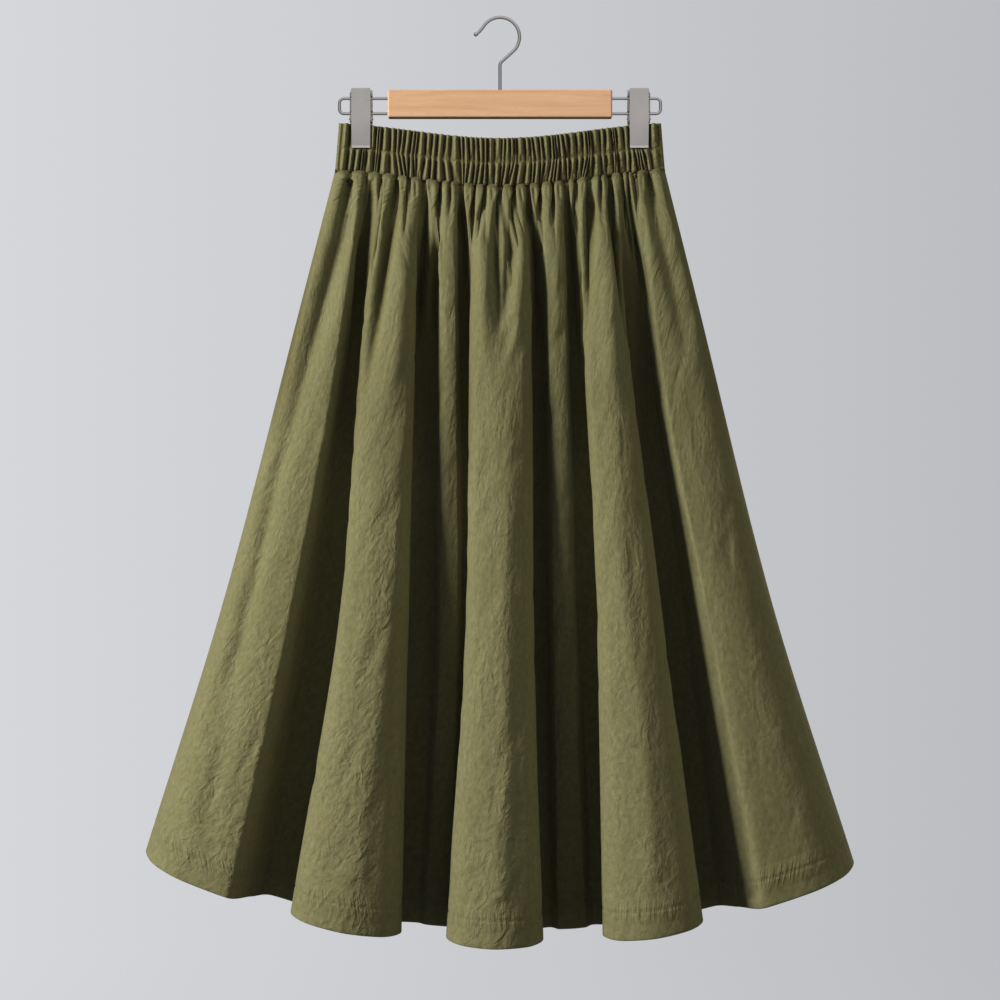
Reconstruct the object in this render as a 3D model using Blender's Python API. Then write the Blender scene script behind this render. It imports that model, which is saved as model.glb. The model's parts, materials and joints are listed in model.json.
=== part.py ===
"""A gathered, flared cloth skirt with an elasticated waistband, on its wooden clip hanger.

Metres, +Z up. The origin is the top of the inside of the hanger's hook, where a peg carries it.
The front of the skirt faces -Y, and +X is to the right of someone who looks at it.
"""

import math
from collections import namedtuple

import bmesh
import bpy
import numpy as np

MM = 0.001
GAP = 0.3 * MM                    # between pieces that touch

# Cloth
CLOTH = 1.5 * MM                  # one layer
HEM_CLOTH = 3.0 * MM              # where the hem is turned up inside
HEM_TURN = 25 * MM                # height of the turned-up hem
HEM_STEP = 2 * MM                 # height in which the wall thickens there

# Waistband, lying between the clips
BAND_TOP = -104 * MM              # its top edge at the ends
BAND_HEIGHT = 48 * MM
BAND_DIP = 16.5 * MM              # sag of its middle
BAND_DIP_REACH = 175 * MM         # from its middle to where a longer band would be level
BAND_HALF_TOP = 161 * MM          # half its width at the top edge
BAND_HALF_FOOT = 165 * MM         # and at the seam to the panels
BAND_WALL = 2.0 * MM              # folded strip with the elastic in it
BAND_SLOT = 1.5 * MM              # half the space inside it at the clips
BAND_BOW = 7.5 * MM               # how much further it bows open in the middle
BAND_FLAT_FROM = 124 * MM         # from here out it is pressed flat
BAND_GATHERS = 48                 # on each side
BAND_PRESSED = 0.9 * MM           # height of a gather under a clip
BAND_PRESS_MARGIN = 3 * MM        # round a clip, where it is pressed too
BAND_BOW_POWER = 1.3
BAND_END_ROUND = 2.5 * MM         # from the last gathers to the folded ends
BAND_LEAN = 1.1 * MM              # how far gathers lean from row to row

# Rows of the waistband: drop below its top edge, and how proud its gathers stand
BandRow = namedtuple("BandRow", "drop proud lean")
BAND_ROWS = (
    BandRow(0.0 * MM, 0.8 * MM, 0.0),
    BandRow(6.0 * MM, 2.6 * MM, 0.3),
    BandRow(18.0 * MM, 2.6 * MM, 0.8),
    BandRow(25.0 * MM, 0.9 * MM, 0.5),
    BandRow(32.0 * MM, 2.5 * MM, 0.0),
    BandRow(42.0 * MM, 2.4 * MM, -0.6),
    BandRow(48.0 * MM, 1.0 * MM, -0.3),
)

# Heights at which the tables of folds give their sizes, and the hem's curve
UPPER_Z = -281 * MM
MIDDLE_Z = -581 * MM
HEM_Z = -904 * MM                 # lowest point, on the centre line
HEM_RISE = 69 * MM                # at the sides
HEM_TILT = 6 * MM                 # left side higher, right side lower
HEM_HALF = 353 * MM
FRONT_FLOOR = 18 * MM             # depth of the valleys at the hem, from the middle plane
BACK_FLOOR = 22 * MM
SEAM_STAND = 3.0 * MM             # panel outside the space in the waistband, at the seam
PUFF = 4.0 * MM                   # how much further out it stands once its gathers have opened

# Gathers of a panel at the waist seam, in millimetres: place, how proud, how far it runs down
Gather = namedtuple("Gather", "x proud run")
FRONT_GATHERS = (
    Gather(-157, 3.8, 170), Gather(-140, 4.4, 190), Gather(-125, 3.4, 70), Gather(-111, 5.0, 150),
    Gather(-95, 4.6, 80), Gather(-84, 3.8, 80), Gather(-69, 4.2, 140), Gather(-50, 5.0, 170),
    Gather(-31, 4.6, 120), Gather(-19, 4.0, 130), Gather(-8, 3.8, 140), Gather(6, 4.6, 130),
    Gather(20, 4.4, 120), Gather(33, 3.8, 90), Gather(46, 4.4, 130), Gather(58, 4.2, 110),
    Gather(70, 4.0, 100), Gather(83, 4.8, 150), Gather(99, 5.0, 120), Gather(116, 4.4, 100),
    Gather(126, 3.2, 90), Gather(141, 4.6, 100), Gather(157, 3.8, 140),
)
GATHERS = len(FRONT_GATHERS)
GATHER_PINCH = 0.5                # height of a gather in the seam, as a part of its full height
GATHER_OPENS = 20 * MM            # below the seam it reaches its full height here
GATHER_VALLEY = 1.9               # crest to valley, as a part of the height of the crest
GATHER_SHARPNESS = 1.7            # above 1, crests are rounder than valleys
GATHER_FADE = 1.5                 # how suddenly a gather ends
LEAST_TURN = 0.75                 # cosine that limits how far a wall's corners reach
EVEN_BY = 0.16                    # part of the panel's length that keeps the gathers' uneven places

# Folds, in millimetres. Each triple is the size at the upper height, the middle height, the hem.
Side = namedtuple("Side", "edge_gather crest_gather foot_gather edge crest foot rise")
Flute = namedtuple("Flute", "first last left right rise tuck")
Ridge = namedtuple("Ridge", "first gather last x half rise")

FRONT_FOLDS = (
    Side(0, 1.3, 2.4, (-198, -276, -353), (-164, -219, -283), (-143, -186, -222), (8, 42, 65)),
    Flute(2.7, 6.0, (-129, -156, -202), (-82, -89, -95), (20, 62, 94), 8),
    Ridge(6.5, 7.3, 7.9, (-53, -48, -68), (12, 16, 18), (10, 22, 6)),
    Flute(8.1, 12.9, (-30, -34, -52), (31, 33, 42), (20, 62, 97), 8),
    Ridge(13.4, 14.9, 16.1, (52, 60, 70), (11, 14, 17), (10, 24, 8)),
    Flute(16.6, 20.1, (81, 94, 99), (123, 157, 196), (20, 62, 94), 8),
    Side(23, 21.9, 20.8, (197, 271, 353), (162, 229, 278), (143, 195, 226), (10, 46, 68)),
)
BACK_FOLDS = (
    Side(0, 1.2, 2.3, (-198, -276, -353), (-167, -226, -288), (-141, -190, -238), (8, 30, 46)),
    Flute(3.1, 5.6, (-130, -172, -222), (-90, -110, -140), (15, 40, 58), 6),
    Ridge(6.2, 6.8, 7.4, (-70, -86, -106), (8, 11, 16), (7, 16, 18)),
    Flute(7.9, 11.6, (-52, -60, -72), (2, 6, 8), (16, 44, 66), 6),
    Flute(12.4, 14.7, (14, 24, 34), (50, 72, 96), (12, 34, 50), 5),
    Flute(16.3, 19.5, (74, 96, 126), (124, 166, 212), (16, 42, 60), 6),
    Side(23, 21.9, 20.6, (197, 271, 353), (166, 224, 284), (140, 186, 230), (9, 32, 48)),
)
EDGE_HEIGHT = 0.55                # widest part of a flute, as a part of its rise
SHOULDER_HEIGHT = 0.87            # half way round from there to its crest
SHOULDER_IN = 0.14                # and how far in from the edge, as a part of its width
NECK_HEIGHT = 0.12                # where it meets the valley
EDGE_ARC = 0.19                   # cloth from neck to edge, as a part of the flute's cloth

# Distances below the waist seam at which a panel has a row of points, as parts of its length
PANEL_ROWS = (0, 0.016, 0.042, 0.085, 0.145, 0.235, 0.355, 0.5, 0.66, 0.82)
COLUMNS_PER_GATHER = 4

# Hanger
BAR_HALF = 112 * MM
BAR_TOP = -71.7 * MM
BAR_FOOT = -99.3 * MM
BAR_THICK = 12 * MM
BAR_ROUND = 1.6 * MM
RAIL_WIRE = 1.5 * MM              # radius
RAIL_UPPER = -79.5 * MM
RAIL_LOWER = -94.7 * MM
RAIL_END = 160.5 * MM             # middle of the wire at the outer end
RAIL_BEND = 4.5 * MM
RAIL_BURIED = 15 * MM             # length held inside the bar
HOOK_WIRE = 1.65 * MM             # radius
HOOK_RADIUS = 19.5 * MM           # to the middle of the wire
HOOK_START = 142                  # degrees from +X, where the bow meets its tip
HOOK_TURN = 48                    # degrees that the bow runs on below its widest place
HOOK_BEND = 5 * MM                # radius of the bend into the stem
HOOK_SHORT = 0.3 * MM             # its end stays above the underside of the bar
HOOK_BALL = 1.3                   # thickness of the ball on its tip, in wires
BORE_PLAY = 0.3 * MM

CLIP_X = 138.8 * MM
CLIP_WIDTH = 19.8 * MM
CLIP_TOP = -70 * MM
CLIP_FOOT = -130 * MM
CLIP_LIP = 2.6 * MM               # height of the turned lip at the jaw's edge
CLIP_FLARE = 0.5 * MM
PLATE = 1.1 * MM
PLATE_INSIDE = BAND_SLOT + BAND_WALL + BAND_PRESSED + GAP
EAR_TOP = -74 * MM
EAR_FOOT = -103.4 * MM
EAR_REACH = 3.2 * MM              # past the middle plane
PIN_Z = -100.0 * MM
PIN_RADIUS = 1.2 * MM
SPRING_RADIUS = 2.4 * MM
SPRING_HALF = 7.6 * MM

COLOURS = {
    "cloth": ((0.125, 0.122, 0.052), 0.85, 0.0),
    "wood": ((0.60, 0.36, 0.19), 0.5, 0.0),
    "steel": ((0.52, 0.51, 0.49), 0.3, 1.0),
    "nickel": ((0.48, 0.46, 0.43), 0.38, 1.0),
}


def material(name):
    """A plain finish, made once."""
    finish = bpy.data.materials.get(name)
    if finish is None:
        colour, roughness, metallic = COLOURS[name]
        finish = bpy.data.materials.new(name)
        finish.use_nodes = True
        shader = finish.node_tree.nodes["Principled BSDF"]
        shader.inputs["Base Color"].default_value = (*colour, 1.0)
        shader.inputs["Roughness"].default_value = roughness
        shader.inputs["Metallic"].default_value = metallic
    return finish


def place(name, data, finish):
    """Puts mesh or curve data in the scene as one named piece."""
    piece = bpy.data.objects.new(name, data)
    bpy.context.collection.objects.link(piece)
    data.materials.append(material(finish))
    return piece


def mesh_of(name, points, faces):
    """A mesh from points and faces, with all its faces turned outwards."""
    mesh = bpy.data.meshes.new(name)
    mesh.from_pydata([tuple(p) for p in points], [], faces)
    shape = bmesh.new()
    shape.from_mesh(mesh)
    bmesh.ops.recalc_face_normals(shape, faces=shape.faces)
    shape.to_mesh(mesh)
    shape.free()
    mesh.shade_smooth()
    mesh.set_sharp_from_angle(angle=math.radians(40))
    return mesh


def glide(knots, values, at, flat_ends=False):
    """Smooth curve through values that never swings past them."""
    knots = np.asarray(knots, float)
    values = np.asarray(values, float)
    step = np.diff(knots)
    slope = np.diff(values) / step
    lean = np.zeros(len(knots))
    for i in range(1, len(knots) - 1):
        if slope[i - 1] * slope[i] > 0:
            before = 2 * step[i] + step[i - 1]
            after = step[i] + 2 * step[i - 1]
            lean[i] = (before + after) / (before / slope[i - 1] + after / slope[i])
    if not flat_ends:
        lean[0] = slope[0]
        lean[-1] = slope[-1]
    i = np.clip(np.searchsorted(knots, at, side="right") - 1, 0, len(step) - 1)
    f = (at - knots[i]) / step[i]
    return (
        values[i] * (1 + 2 * f) * (1 - f) ** 2
        + lean[i] * step[i] * f * (1 - f) ** 2
        + values[i + 1] * f * f * (3 - 2 * f)
        + lean[i + 1] * step[i] * f * f * (f - 1)
    )


def band_dip(x):
    """How far the waistband has sagged at x."""
    return BAND_DIP * np.cos(math.pi / 2 * x / BAND_DIP_REACH) ** 2


def band_space(x):
    """Half the space inside the waistband at x."""
    across = np.minimum(np.abs(x) / BAND_FLAT_FROM, 1)
    return BAND_SLOT + BAND_BOW * (1 - across ** 2) ** BAND_BOW_POWER


def seam_z(x):
    """Top edge of the panels, just under the waistband."""
    return BAND_TOP - band_dip(x) - BAND_HEIGHT - GAP


def hem_z(x):
    """Height of the hem at x: an arc that rises to both sides."""
    across = x / HEM_HALF
    return HEM_Z + HEM_RISE * across ** 2 - HEM_TILT * across


# One line down the cloth: its gather number, and its size at the three heights.
# seat is 0 on the side edges, which lie in the middle plane, and 1 elsewhere.
Line = namedtuple("Line", "gather x rise seat")


def side_lines(fold):
    """Edge, two shoulders, crest, slope and foot of the half flute along a side seam."""
    edge = np.array(fold.edge, float)
    crest = np.array(fold.crest, float)
    foot = np.array(fold.foot, float)
    rise = np.array(fold.rise, float)
    turn = fold.crest_gather - fold.edge_gather
    slope = fold.foot_gather - fold.crest_gather
    lines = [
        Line(fold.edge_gather, edge, rise * 0, 0),
        Line(fold.edge_gather + 0.34 * turn, edge + 0.13 * (crest - edge), 0.48 * rise, 0.8),
        Line(fold.edge_gather + 0.68 * turn, edge + 0.48 * (crest - edge), 0.86 * rise, 1),
        Line(fold.crest_gather, crest, rise, 1),
        Line(fold.crest_gather + 0.55 * slope, crest + 0.58 * (foot - crest), 0.42 * rise, 1),
        Line(fold.foot_gather, foot, rise * 0, 1),
    ]
    return sorted(lines, key=lambda line: line.gather)


def flute_lines(fold):
    """Necks, edges, shoulders and crest of a flute that is narrower at its neck than in front."""
    left = np.array(fold.left, float)
    right = np.array(fold.right, float)
    rise = np.array(fold.rise, float)
    tuck = fold.tuck * rise / rise[-1]
    width = right - left
    cloth = fold.last - fold.first
    shoulder = (EDGE_ARC + 0.5) / 2
    return [
        Line(fold.first, left + tuck, NECK_HEIGHT * rise, 1),
        Line(fold.first + EDGE_ARC * cloth, left, EDGE_HEIGHT * rise, 1),
        Line(fold.first + shoulder * cloth, left + SHOULDER_IN * width, SHOULDER_HEIGHT * rise, 1),
        Line((fold.first + fold.last) / 2, (left + right) / 2, rise, 1),
        Line(fold.last - shoulder * cloth, right - SHOULDER_IN * width, SHOULDER_HEIGHT * rise, 1),
        Line(fold.last - EDGE_ARC * cloth, right, EDGE_HEIGHT * rise, 1),
        Line(fold.last, right - tuck, NECK_HEIGHT * rise, 1),
    ]


def ridge_lines(fold):
    """Feet and crest of a soft ridge on a valley's floor."""
    x = np.array(fold.x, float)
    half = np.array(fold.half, float)
    rise = np.array(fold.rise, float)
    return [
        Line(fold.first, x - half, rise * 0, 1),
        Line(fold.gather, x, rise, 1),
        Line(fold.last, x + half, rise * 0, 1),
    ]


LINES_OF = {Side: side_lines, Flute: flute_lines, Ridge: ridge_lines}


def gather_numbers(gathers):
    """Gather number at each crest, with both side edges added."""
    return np.concatenate([[0], np.arange(len(gathers)) + 0.5, [len(gathers)]])


def seam_x(gathers, at):
    """Place on the waist seam of a gather number."""
    crests = [-BAND_HALF_FOOT] + [g.x * MM for g in gathers] + [BAND_HALF_FOOT]
    return glide(gather_numbers(gathers), crests, at)


def opened(below):
    """How far gathers have opened at a distance below the seam, from 0 to 1."""
    part = np.clip(below / GATHER_OPENS, 0, 1)
    return part * part * (3 - 2 * part)


def gather_relief(gathers, at, below):
    """How far a gather lifts the cloth at a distance below the seam: round crests, sharp valleys."""
    numbers = gather_numbers(gathers)
    proud = np.interp(at, numbers, [0] + [g.proud * MM for g in gathers] + [0])
    run = np.interp(at, numbers, [g.run * MM for g in (gathers[0], *gathers, gathers[-1])])
    from_crest = 2 * np.abs(at - np.floor(at) - 0.5)
    height = GATHER_PINCH + (1 - GATHER_PINCH) * opened(below)
    shape = 1 - GATHER_VALLEY * from_crest ** GATHER_SHARPNESS
    return proud * shape * height * np.exp(-((below / run) ** GATHER_FADE))


def plan_normals(x, y):
    """Outward directions in plan along a row of points, longer at corners so that walls stay even."""
    along = np.stack([np.diff(x), np.diff(y)], axis=-1)
    along /= np.linalg.norm(along, axis=-1, keepdims=True)
    across = np.stack([along[:, 1], -along[:, 0]], axis=-1)
    before = np.vstack([across[:1], across])
    after = np.vstack([across, across[-1:]])
    mean = before + after
    mean /= np.linalg.norm(mean, axis=-1, keepdims=True)
    stretch = 1 / np.maximum(np.sum(mean * before, axis=-1), LEAST_TURN)
    return mean * stretch[:, None]


def panel_surface(folds, gathers, floor, numbers, levels):
    """Outer points of a panel that faces -Y: one row for each level, from waist seam to hem."""
    lines = [line for fold in folds for line in LINES_OF[type(fold)](fold)]
    at = np.array([line.gather for line in lines])
    top_x = seam_x(gathers, at)
    top_z = seam_z(top_x)
    hem_x = np.array([line.x[-1] for line in lines]) * MM
    foot_z = hem_z(hem_x)
    across = seam_x(gathers, numbers)
    uneven_x = across - glide(at, top_x, numbers)
    uneven_z = seam_z(across) - glide(at, top_z, numbers, flat_ends=True)
    rows = []
    for level in levels:
        below = level * (top_z.mean() - foot_z.mean())
        points = []
        for i, line in enumerate(lines):
            z = top_z[i] + (foot_z[i] - top_z[i]) * level
            heights = (-top_z[i], -UPPER_Z, -MIDDLE_Z, -foot_z[i])
            x = glide(heights, (top_x[i], *(line.x * MM)), -z)
            rise = glide(heights, (0, *(line.rise * MM)), -z)
            seat = band_space(x) + SEAM_STAND + PUFF * opened(below)
            seat = seat * (1 - level) + floor * level
            points.append((x, -(seat * line.seat + rise), z))
        x, y, z = np.array(points).T
        settled = math.exp(-((level / EVEN_BY) ** 2))
        x = glide(at, x, numbers, flat_ends=True) + uneven_x * settled
        y = glide(at, y, numbers)
        z = glide(at, z, numbers, flat_ends=True) + uneven_z * settled
        relief = gather_relief(gathers, numbers, below)[:, None] * plan_normals(x, y)
        rows.append(np.stack([x + relief[:, 0], y + relief[:, 1], z], axis=-1))
    return np.array(rows)


def panel_wall(name, rows, thickness, side):
    """A closed cloth wall on a panel's outer rows; side is 1 in front and -1 behind."""
    outer = rows.copy()
    outer[:, :, 1] -= GAP / 2
    inner = outer.copy()
    for row, wall in zip(inner, thickness):
        inward = -plan_normals(row[:, 0], row[:, 1]) * wall
        inward[0] = (wall, 0)
        inward[-1] = (-wall, 0)
        row[:, :2] += inward
    points = np.concatenate([outer.reshape(-1, 3), inner.reshape(-1, 3)])
    points[:, 1] *= side
    down, along = rows.shape[:2]
    inside = down * along
    faces = []
    for r in range(down - 1):
        for c in range(along - 1):
            a = r * along + c
            b = a + along
            faces.append((a, a + 1, b + 1, b))
            faces.append((inside + a, inside + b, inside + b + 1, inside + a + 1))
    for c in range(along - 1):
        last = (down - 1) * along + c
        faces.append((c, inside + c, inside + c + 1, c + 1))
        faces.append((last, last + 1, inside + last + 1, inside + last))
    for r in range(down - 1):
        a = r * along
        b = a + along
        faces.append((a, b, inside + b, inside + a))
        faces.append((a + along - 1, inside + a + along - 1, inside + b + along - 1, b + along - 1))
    return place(name, mesh_of(name, points, faces), "cloth")


def back_gathers():
    """Gathers behind, as many as in front and as uneven, with their places from a rule."""
    gathers = []
    pitch = 2 * BAND_HALF_FOOT / MM / GATHERS
    for i in range(GATHERS):
        drift = 0.22 * math.sin(2.4 * i + 0.7) * (0 < i < GATHERS - 1)
        x = (i + 0.5 + drift) * pitch - BAND_HALF_FOOT / MM
        gathers.append(Gather(x, 4.2 + 0.7 * math.sin(3.7 * i), 115 + 40 * math.sin(1.9 * i)))
    return gathers


def build_panels():
    """Front and back, each one cut piece with its hem turned up."""
    length = seam_z(0.0) - HEM_Z
    turn = 1 - HEM_TURN / length
    levels = [*PANEL_ROWS, turn - HEM_STEP / length, turn, 1]
    thickness = [CLOTH] * (len(levels) - 2) + [HEM_CLOTH] * 2
    numbers = np.linspace(0, GATHERS, GATHERS * COLUMNS_PER_GATHER + 1)
    front = panel_surface(FRONT_FOLDS, FRONT_GATHERS, FRONT_FLOOR, numbers, levels)
    panel_wall("front_panel", front, thickness, 1)
    back = panel_surface(BACK_FOLDS, back_gathers(), BACK_FLOOR, numbers, levels)
    panel_wall("back_panel", back, thickness, -1)


def under_clip(x, z):
    """True where a clip presses the waistband."""
    beside = abs(abs(x) - CLIP_X) < CLIP_WIDTH / 2 + BAND_PRESS_MARGIN
    return beside and z > CLIP_FOOT - BAND_PRESS_MARGIN


def band_columns():
    """Crests and valleys round the waistband: part of the half width, side, crest or valley, lean."""
    columns = []
    for side in (-1, 1):
        for i in range(2 * BAND_GATHERS - 1):
            step = i + 1 + 0.34 * math.sin(2.3 * i + side) + 0.22 * math.sin(5.1 * i)
            across = side * (1 - step / BAND_GATHERS)
            lean = BAND_LEAN * math.sin(1.7 * (i // 2) + 2 * side)
            columns.append((across, side, i % 2 == 0, lean))
        columns.append((-side, 0, False, 0))
    return columns


def build_waistband():
    """A folded strip with two elastic channels: gathers raised over a plain inside."""
    outer = []
    inner = []
    columns = band_columns()
    for row in BAND_ROWS:
        part = row.drop / BAND_HEIGHT
        half = BAND_HALF_TOP + (BAND_HALF_FOOT - BAND_HALF_TOP) * part
        for across, side, crest, lean in columns:
            reach = half - BAND_END_ROUND if side else half
            x = across * reach + row.lean * lean
            z = BAND_TOP - band_dip(x) - row.drop
            space = band_space(x)
            proud = row.proud if crest else 0
            if under_clip(x, z):
                proud = min(proud, BAND_PRESSED)
            outer.append((x, side * (space + BAND_WALL + proud), z))
            if row in (BAND_ROWS[0], BAND_ROWS[-1]):
                inner_x = across * (half - BAND_WALL) if side == 0 else x
                inner.append((inner_x, side * space, z))
    count = len(columns)
    inside = len(outer)
    last = (len(BAND_ROWS) - 1) * count
    faces = []
    for c in range(count):
        d = (c + 1) % count
        for r in range(len(BAND_ROWS) - 1):
            a = r * count
            faces.append((a + c, a + d, a + count + d, a + count + c))
        faces.append((inside + c, inside + count + c, inside + count + d, inside + d))
        faces.append((c, inside + c, inside + d, d))
        faces.append((last + c, last + d, inside + count + d, inside + count + c))
    place("waistband", mesh_of("waistband", outer + inner, faces), "cloth")


def cutter(name, radius, start, end, sides=16):
    """A hidden cylinder from start to end, for drilling."""
    start = np.array(start)
    end = np.array(end)
    axis = (end - start) / np.linalg.norm(end - start)
    aside = np.cross(axis, (0.0, 1.0, 0.0))
    aside /= np.linalg.norm(aside)
    up = np.cross(axis, aside)
    turns = [2 * math.pi * i / sides for i in range(sides)]
    rim = [radius * (math.cos(a) * aside + math.sin(a) * up) for a in turns]
    points = [start + p for p in rim] + [end + p for p in rim]
    faces = [tuple(range(sides)), tuple(range(2 * sides - 1, sides - 1, -1))]
    faces += [(i, (i + 1) % sides, sides + (i + 1) % sides, sides + i) for i in range(sides)]
    drill = bpy.data.objects.new(name, mesh_of(name, points, faces))
    bpy.context.collection.objects.link(drill)
    drill.hide_render = True
    drill.display_type = "WIRE"
    return drill


def drill_out(piece, drill):
    """Cuts a drill's shape out of a piece."""
    cut = piece.modifiers.new(drill.name, "BOOLEAN")
    cut.operation = "DIFFERENCE"
    cut.object = drill


def build_bar():
    """Wooden bar, bored through for the hook and bored at its ends for the wire rails."""
    shape = bmesh.new()
    bmesh.ops.create_cube(shape, size=1)
    size = (2 * BAR_HALF, BAR_THICK, BAR_TOP - BAR_FOOT)
    bmesh.ops.scale(shape, vec=size, verts=shape.verts)
    bmesh.ops.translate(shape, vec=(0, 0, (BAR_TOP + BAR_FOOT) / 2), verts=shape.verts)
    mesh = bpy.data.meshes.new("hanger_bar")
    shape.to_mesh(mesh)
    shape.free()
    bar = place("hanger_bar", mesh, "wood")
    soften = bar.modifiers.new("soft edges", "BEVEL")
    soften.width = BAR_ROUND
    soften.segments = 3
    past = 5 * MM
    bore = HOOK_WIRE + BORE_PLAY
    drill_out(bar, cutter("hook bore", bore, (0, 0, BAR_TOP + past), (0, 0, BAR_FOOT - past)))
    for side in (-1, 1):
        for z in (RAIL_UPPER, RAIL_LOWER):
            start = (side * (BAR_HALF - RAIL_BURIED - GAP), 0, z)
            end = (side * (BAR_HALF + past), 0, z)
            drill_out(bar, cutter("rail bore", RAIL_WIRE + BORE_PLAY, start, end))


def wire(name, points, radius, finish, radii=None):
    """A round wire along points, with closed ends; radii scale it at each point."""
    curve = bpy.data.curves.new(name, "CURVE")
    curve.dimensions = "3D"
    curve.bevel_depth = radius
    curve.bevel_resolution = 2
    curve.use_fill_caps = True
    spline = curve.splines.new("POLY")
    spline.points.add(len(points) - 1)
    for i, (x, y, z) in enumerate(points):
        spline.points[i].co = (x, y, z, 1)
        spline.points[i].radius = radii[i] if radii else 1
    return place(name, curve, finish)


def arc(centre_x, centre_z, radius, start, end, count):
    """Points along an arc in the plane of the hanger, with angles in degrees from +X."""
    angles = np.radians(np.linspace(start, end, count))
    return [(centre_x + radius * math.cos(a), 0, centre_z + radius * math.sin(a)) for a in angles]


def build_rails():
    """One bent wire on each side, both of its ends held in the bar."""
    for name, side in (("rail_left", -1), ("rail_right", 1)):
        buried = BAR_HALF - RAIL_BURIED
        corner = RAIL_END - RAIL_BEND
        route = [(buried, 0, RAIL_UPPER)]
        route += arc(corner, RAIL_UPPER - RAIL_BEND, RAIL_BEND, 90, 0, 6)
        route += arc(corner, RAIL_LOWER + RAIL_BEND, RAIL_BEND, 0, -90, 6)
        route.append((buried, 0, RAIL_LOWER))
        wire(name, [(side * x, y, z) for x, y, z in route], RAIL_WIRE, "steel")


def build_hook():
    """Hook of steel wire: ball on a flicked tip, round bow, bend, and stem set in the bar."""
    bow_z = HOOK_WIRE - HOOK_RADIUS
    bow = arc(0, bow_z, HOOK_RADIUS, HOOK_START, -HOOK_TURN, 22)
    tip_x, _, tip_z = bow[0]
    tip = [(tip_x - 10.6 * MM, 0, tip_z - 10.8 * MM)]
    tip += [(tip_x - 9.6 * MM, 0, tip_z - 10.1 * MM)]
    tip += [(tip_x - 7.4 * MM, 0, tip_z - 8.4 * MM)]
    tip += [(tip_x - 4.6 * MM, 0, tip_z - 5.8 * MM)]
    tip += [(tip_x - 2.2 * MM, 0, tip_z - 2.9 * MM)]
    turn = math.radians(HOOK_TURN)
    end_x, _, end_z = bow[-1]
    corner_z = end_z - end_x / math.tan(turn)
    stem_z = corner_z - HOOK_BEND * math.tan(turn / 2)
    bend = arc(HOOK_BEND, stem_z, HOOK_BEND, 180 - HOOK_TURN, 180, 6)
    stem = [(0, 0, (stem_z + BAR_TOP) / 2), (0, 0, BAR_FOOT + HOOK_SHORT)]
    radii = [HOOK_BALL, HOOK_BALL] + [1.0] * (len(tip + bow + bend + stem) - 2)
    wire("hanger_hook", tip + bow + bend + stem, HOOK_WIRE, "steel", radii)


def ear_outline(side):
    """Side ear of a clip plate, in depth and height, notched where the two rails pass."""
    wire_room = RAIL_WIRE + GAP
    reach = side * EAR_REACH
    notch = -side * wire_room
    outline = [(reach, EAR_TOP)]
    for z in (RAIL_UPPER, RAIL_LOWER):
        outline += [(reach, z + wire_room), (notch, z + wire_room)]
        outline += [(notch, z - wire_room), (reach, z - wire_room)]
    outline.append((reach, EAR_FOOT))
    return outline


def build_clip_plate(name, x, half, side):
    """One pressed plate of a clip: face, turned lip, and an ear on each edge; side is -1 in front."""
    face = side * (PLATE_INSIDE + PLATE / 2)
    heights = (CLIP_TOP, EAR_TOP, EAR_FOOT, CLIP_FOOT + CLIP_LIP, CLIP_FOOT)
    depths = (face, face, face, face, face + side * CLIP_FLARE)
    shape = bmesh.new()
    edges = {}
    for end in (-1, 1):
        edges[end] = [shape.verts.new((x + end * half, y, z)) for y, z in zip(depths, heights)]
    for i in range(len(heights) - 1):
        shape.faces.new((edges[-1][i], edges[-1][i + 1], edges[1][i + 1], edges[1][i]))
    for end in (-1, 1):
        outline = [shape.verts.new((x + end * half, y, z)) for y, z in ear_outline(-side)]
        shape.faces.new([edges[end][1]] + outline + [edges[end][2]])
    bmesh.ops.recalc_face_normals(shape, faces=shape.faces)
    mesh = bpy.data.meshes.new(name)
    shape.to_mesh(mesh)
    shape.free()
    plate = place(name, mesh, "nickel")
    sheet = plate.modifiers.new("sheet", "SOLIDIFY")
    sheet.thickness = PLATE
    sheet.offset = 0
    sheet.use_even_offset = True
    past = half + 3 * MM
    hole = PIN_RADIUS + BORE_PLAY
    drill_out(plate, cutter("pin hole", hole, (x - past, 0, PIN_Z), (x + past, 0, PIN_Z), 12))
    return plate


def turned(name, x, profile, finish, sides=12):
    """A body turned about a pin's axis: profile is a closed loop of distance along X and radius."""
    points = []
    faces = []
    count = len(profile)
    for i in range(sides):
        angle = 2 * math.pi * i / sides
        for along, radius in profile:
            points.append((x + along, radius * math.cos(angle), PIN_Z + radius * math.sin(angle)))
        for j in range(count):
            k = (j + 1) % count
            n = (i + 1) % sides
            faces.append((i * count + j, i * count + k, n * count + k, n * count + j))
    return place(name, mesh_of(name, points, faces), finish)


def build_clips():
    """A clip at each end: two pressed plates on a pin, and the spring round the pin."""
    outer_half = CLIP_WIDTH / 2 + PLATE + GAP - PLATE / 2
    pin_half = outer_half + PLATE / 2 + 0.4 * MM
    for name, side in (("left", -1), ("right", 1)):
        x = side * CLIP_X
        build_clip_plate(f"clip_front_{name}", x, (CLIP_WIDTH - PLATE) / 2, -1)
        build_clip_plate(f"clip_back_{name}", x, outer_half, 1)
        centre = [(x - pin_half, 0, PIN_Z), (x + pin_half, 0, PIN_Z)]
        wire(f"clip_pin_{name}", centre, PIN_RADIUS, "steel")
        bore = PIN_RADIUS + GAP
        coil = [(-SPRING_HALF, bore), (SPRING_HALF, bore)]
        coil += [(SPRING_HALF, SPRING_RADIUS), (-SPRING_HALF, SPRING_RADIUS)]
        turned(f"clip_spring_{name}", x, coil, "steel")


for old in list(bpy.data.objects):
    bpy.data.objects.remove(old)
build_panels()
build_waistband()
build_bar()
build_rails()
build_hook()
build_clips()
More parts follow.
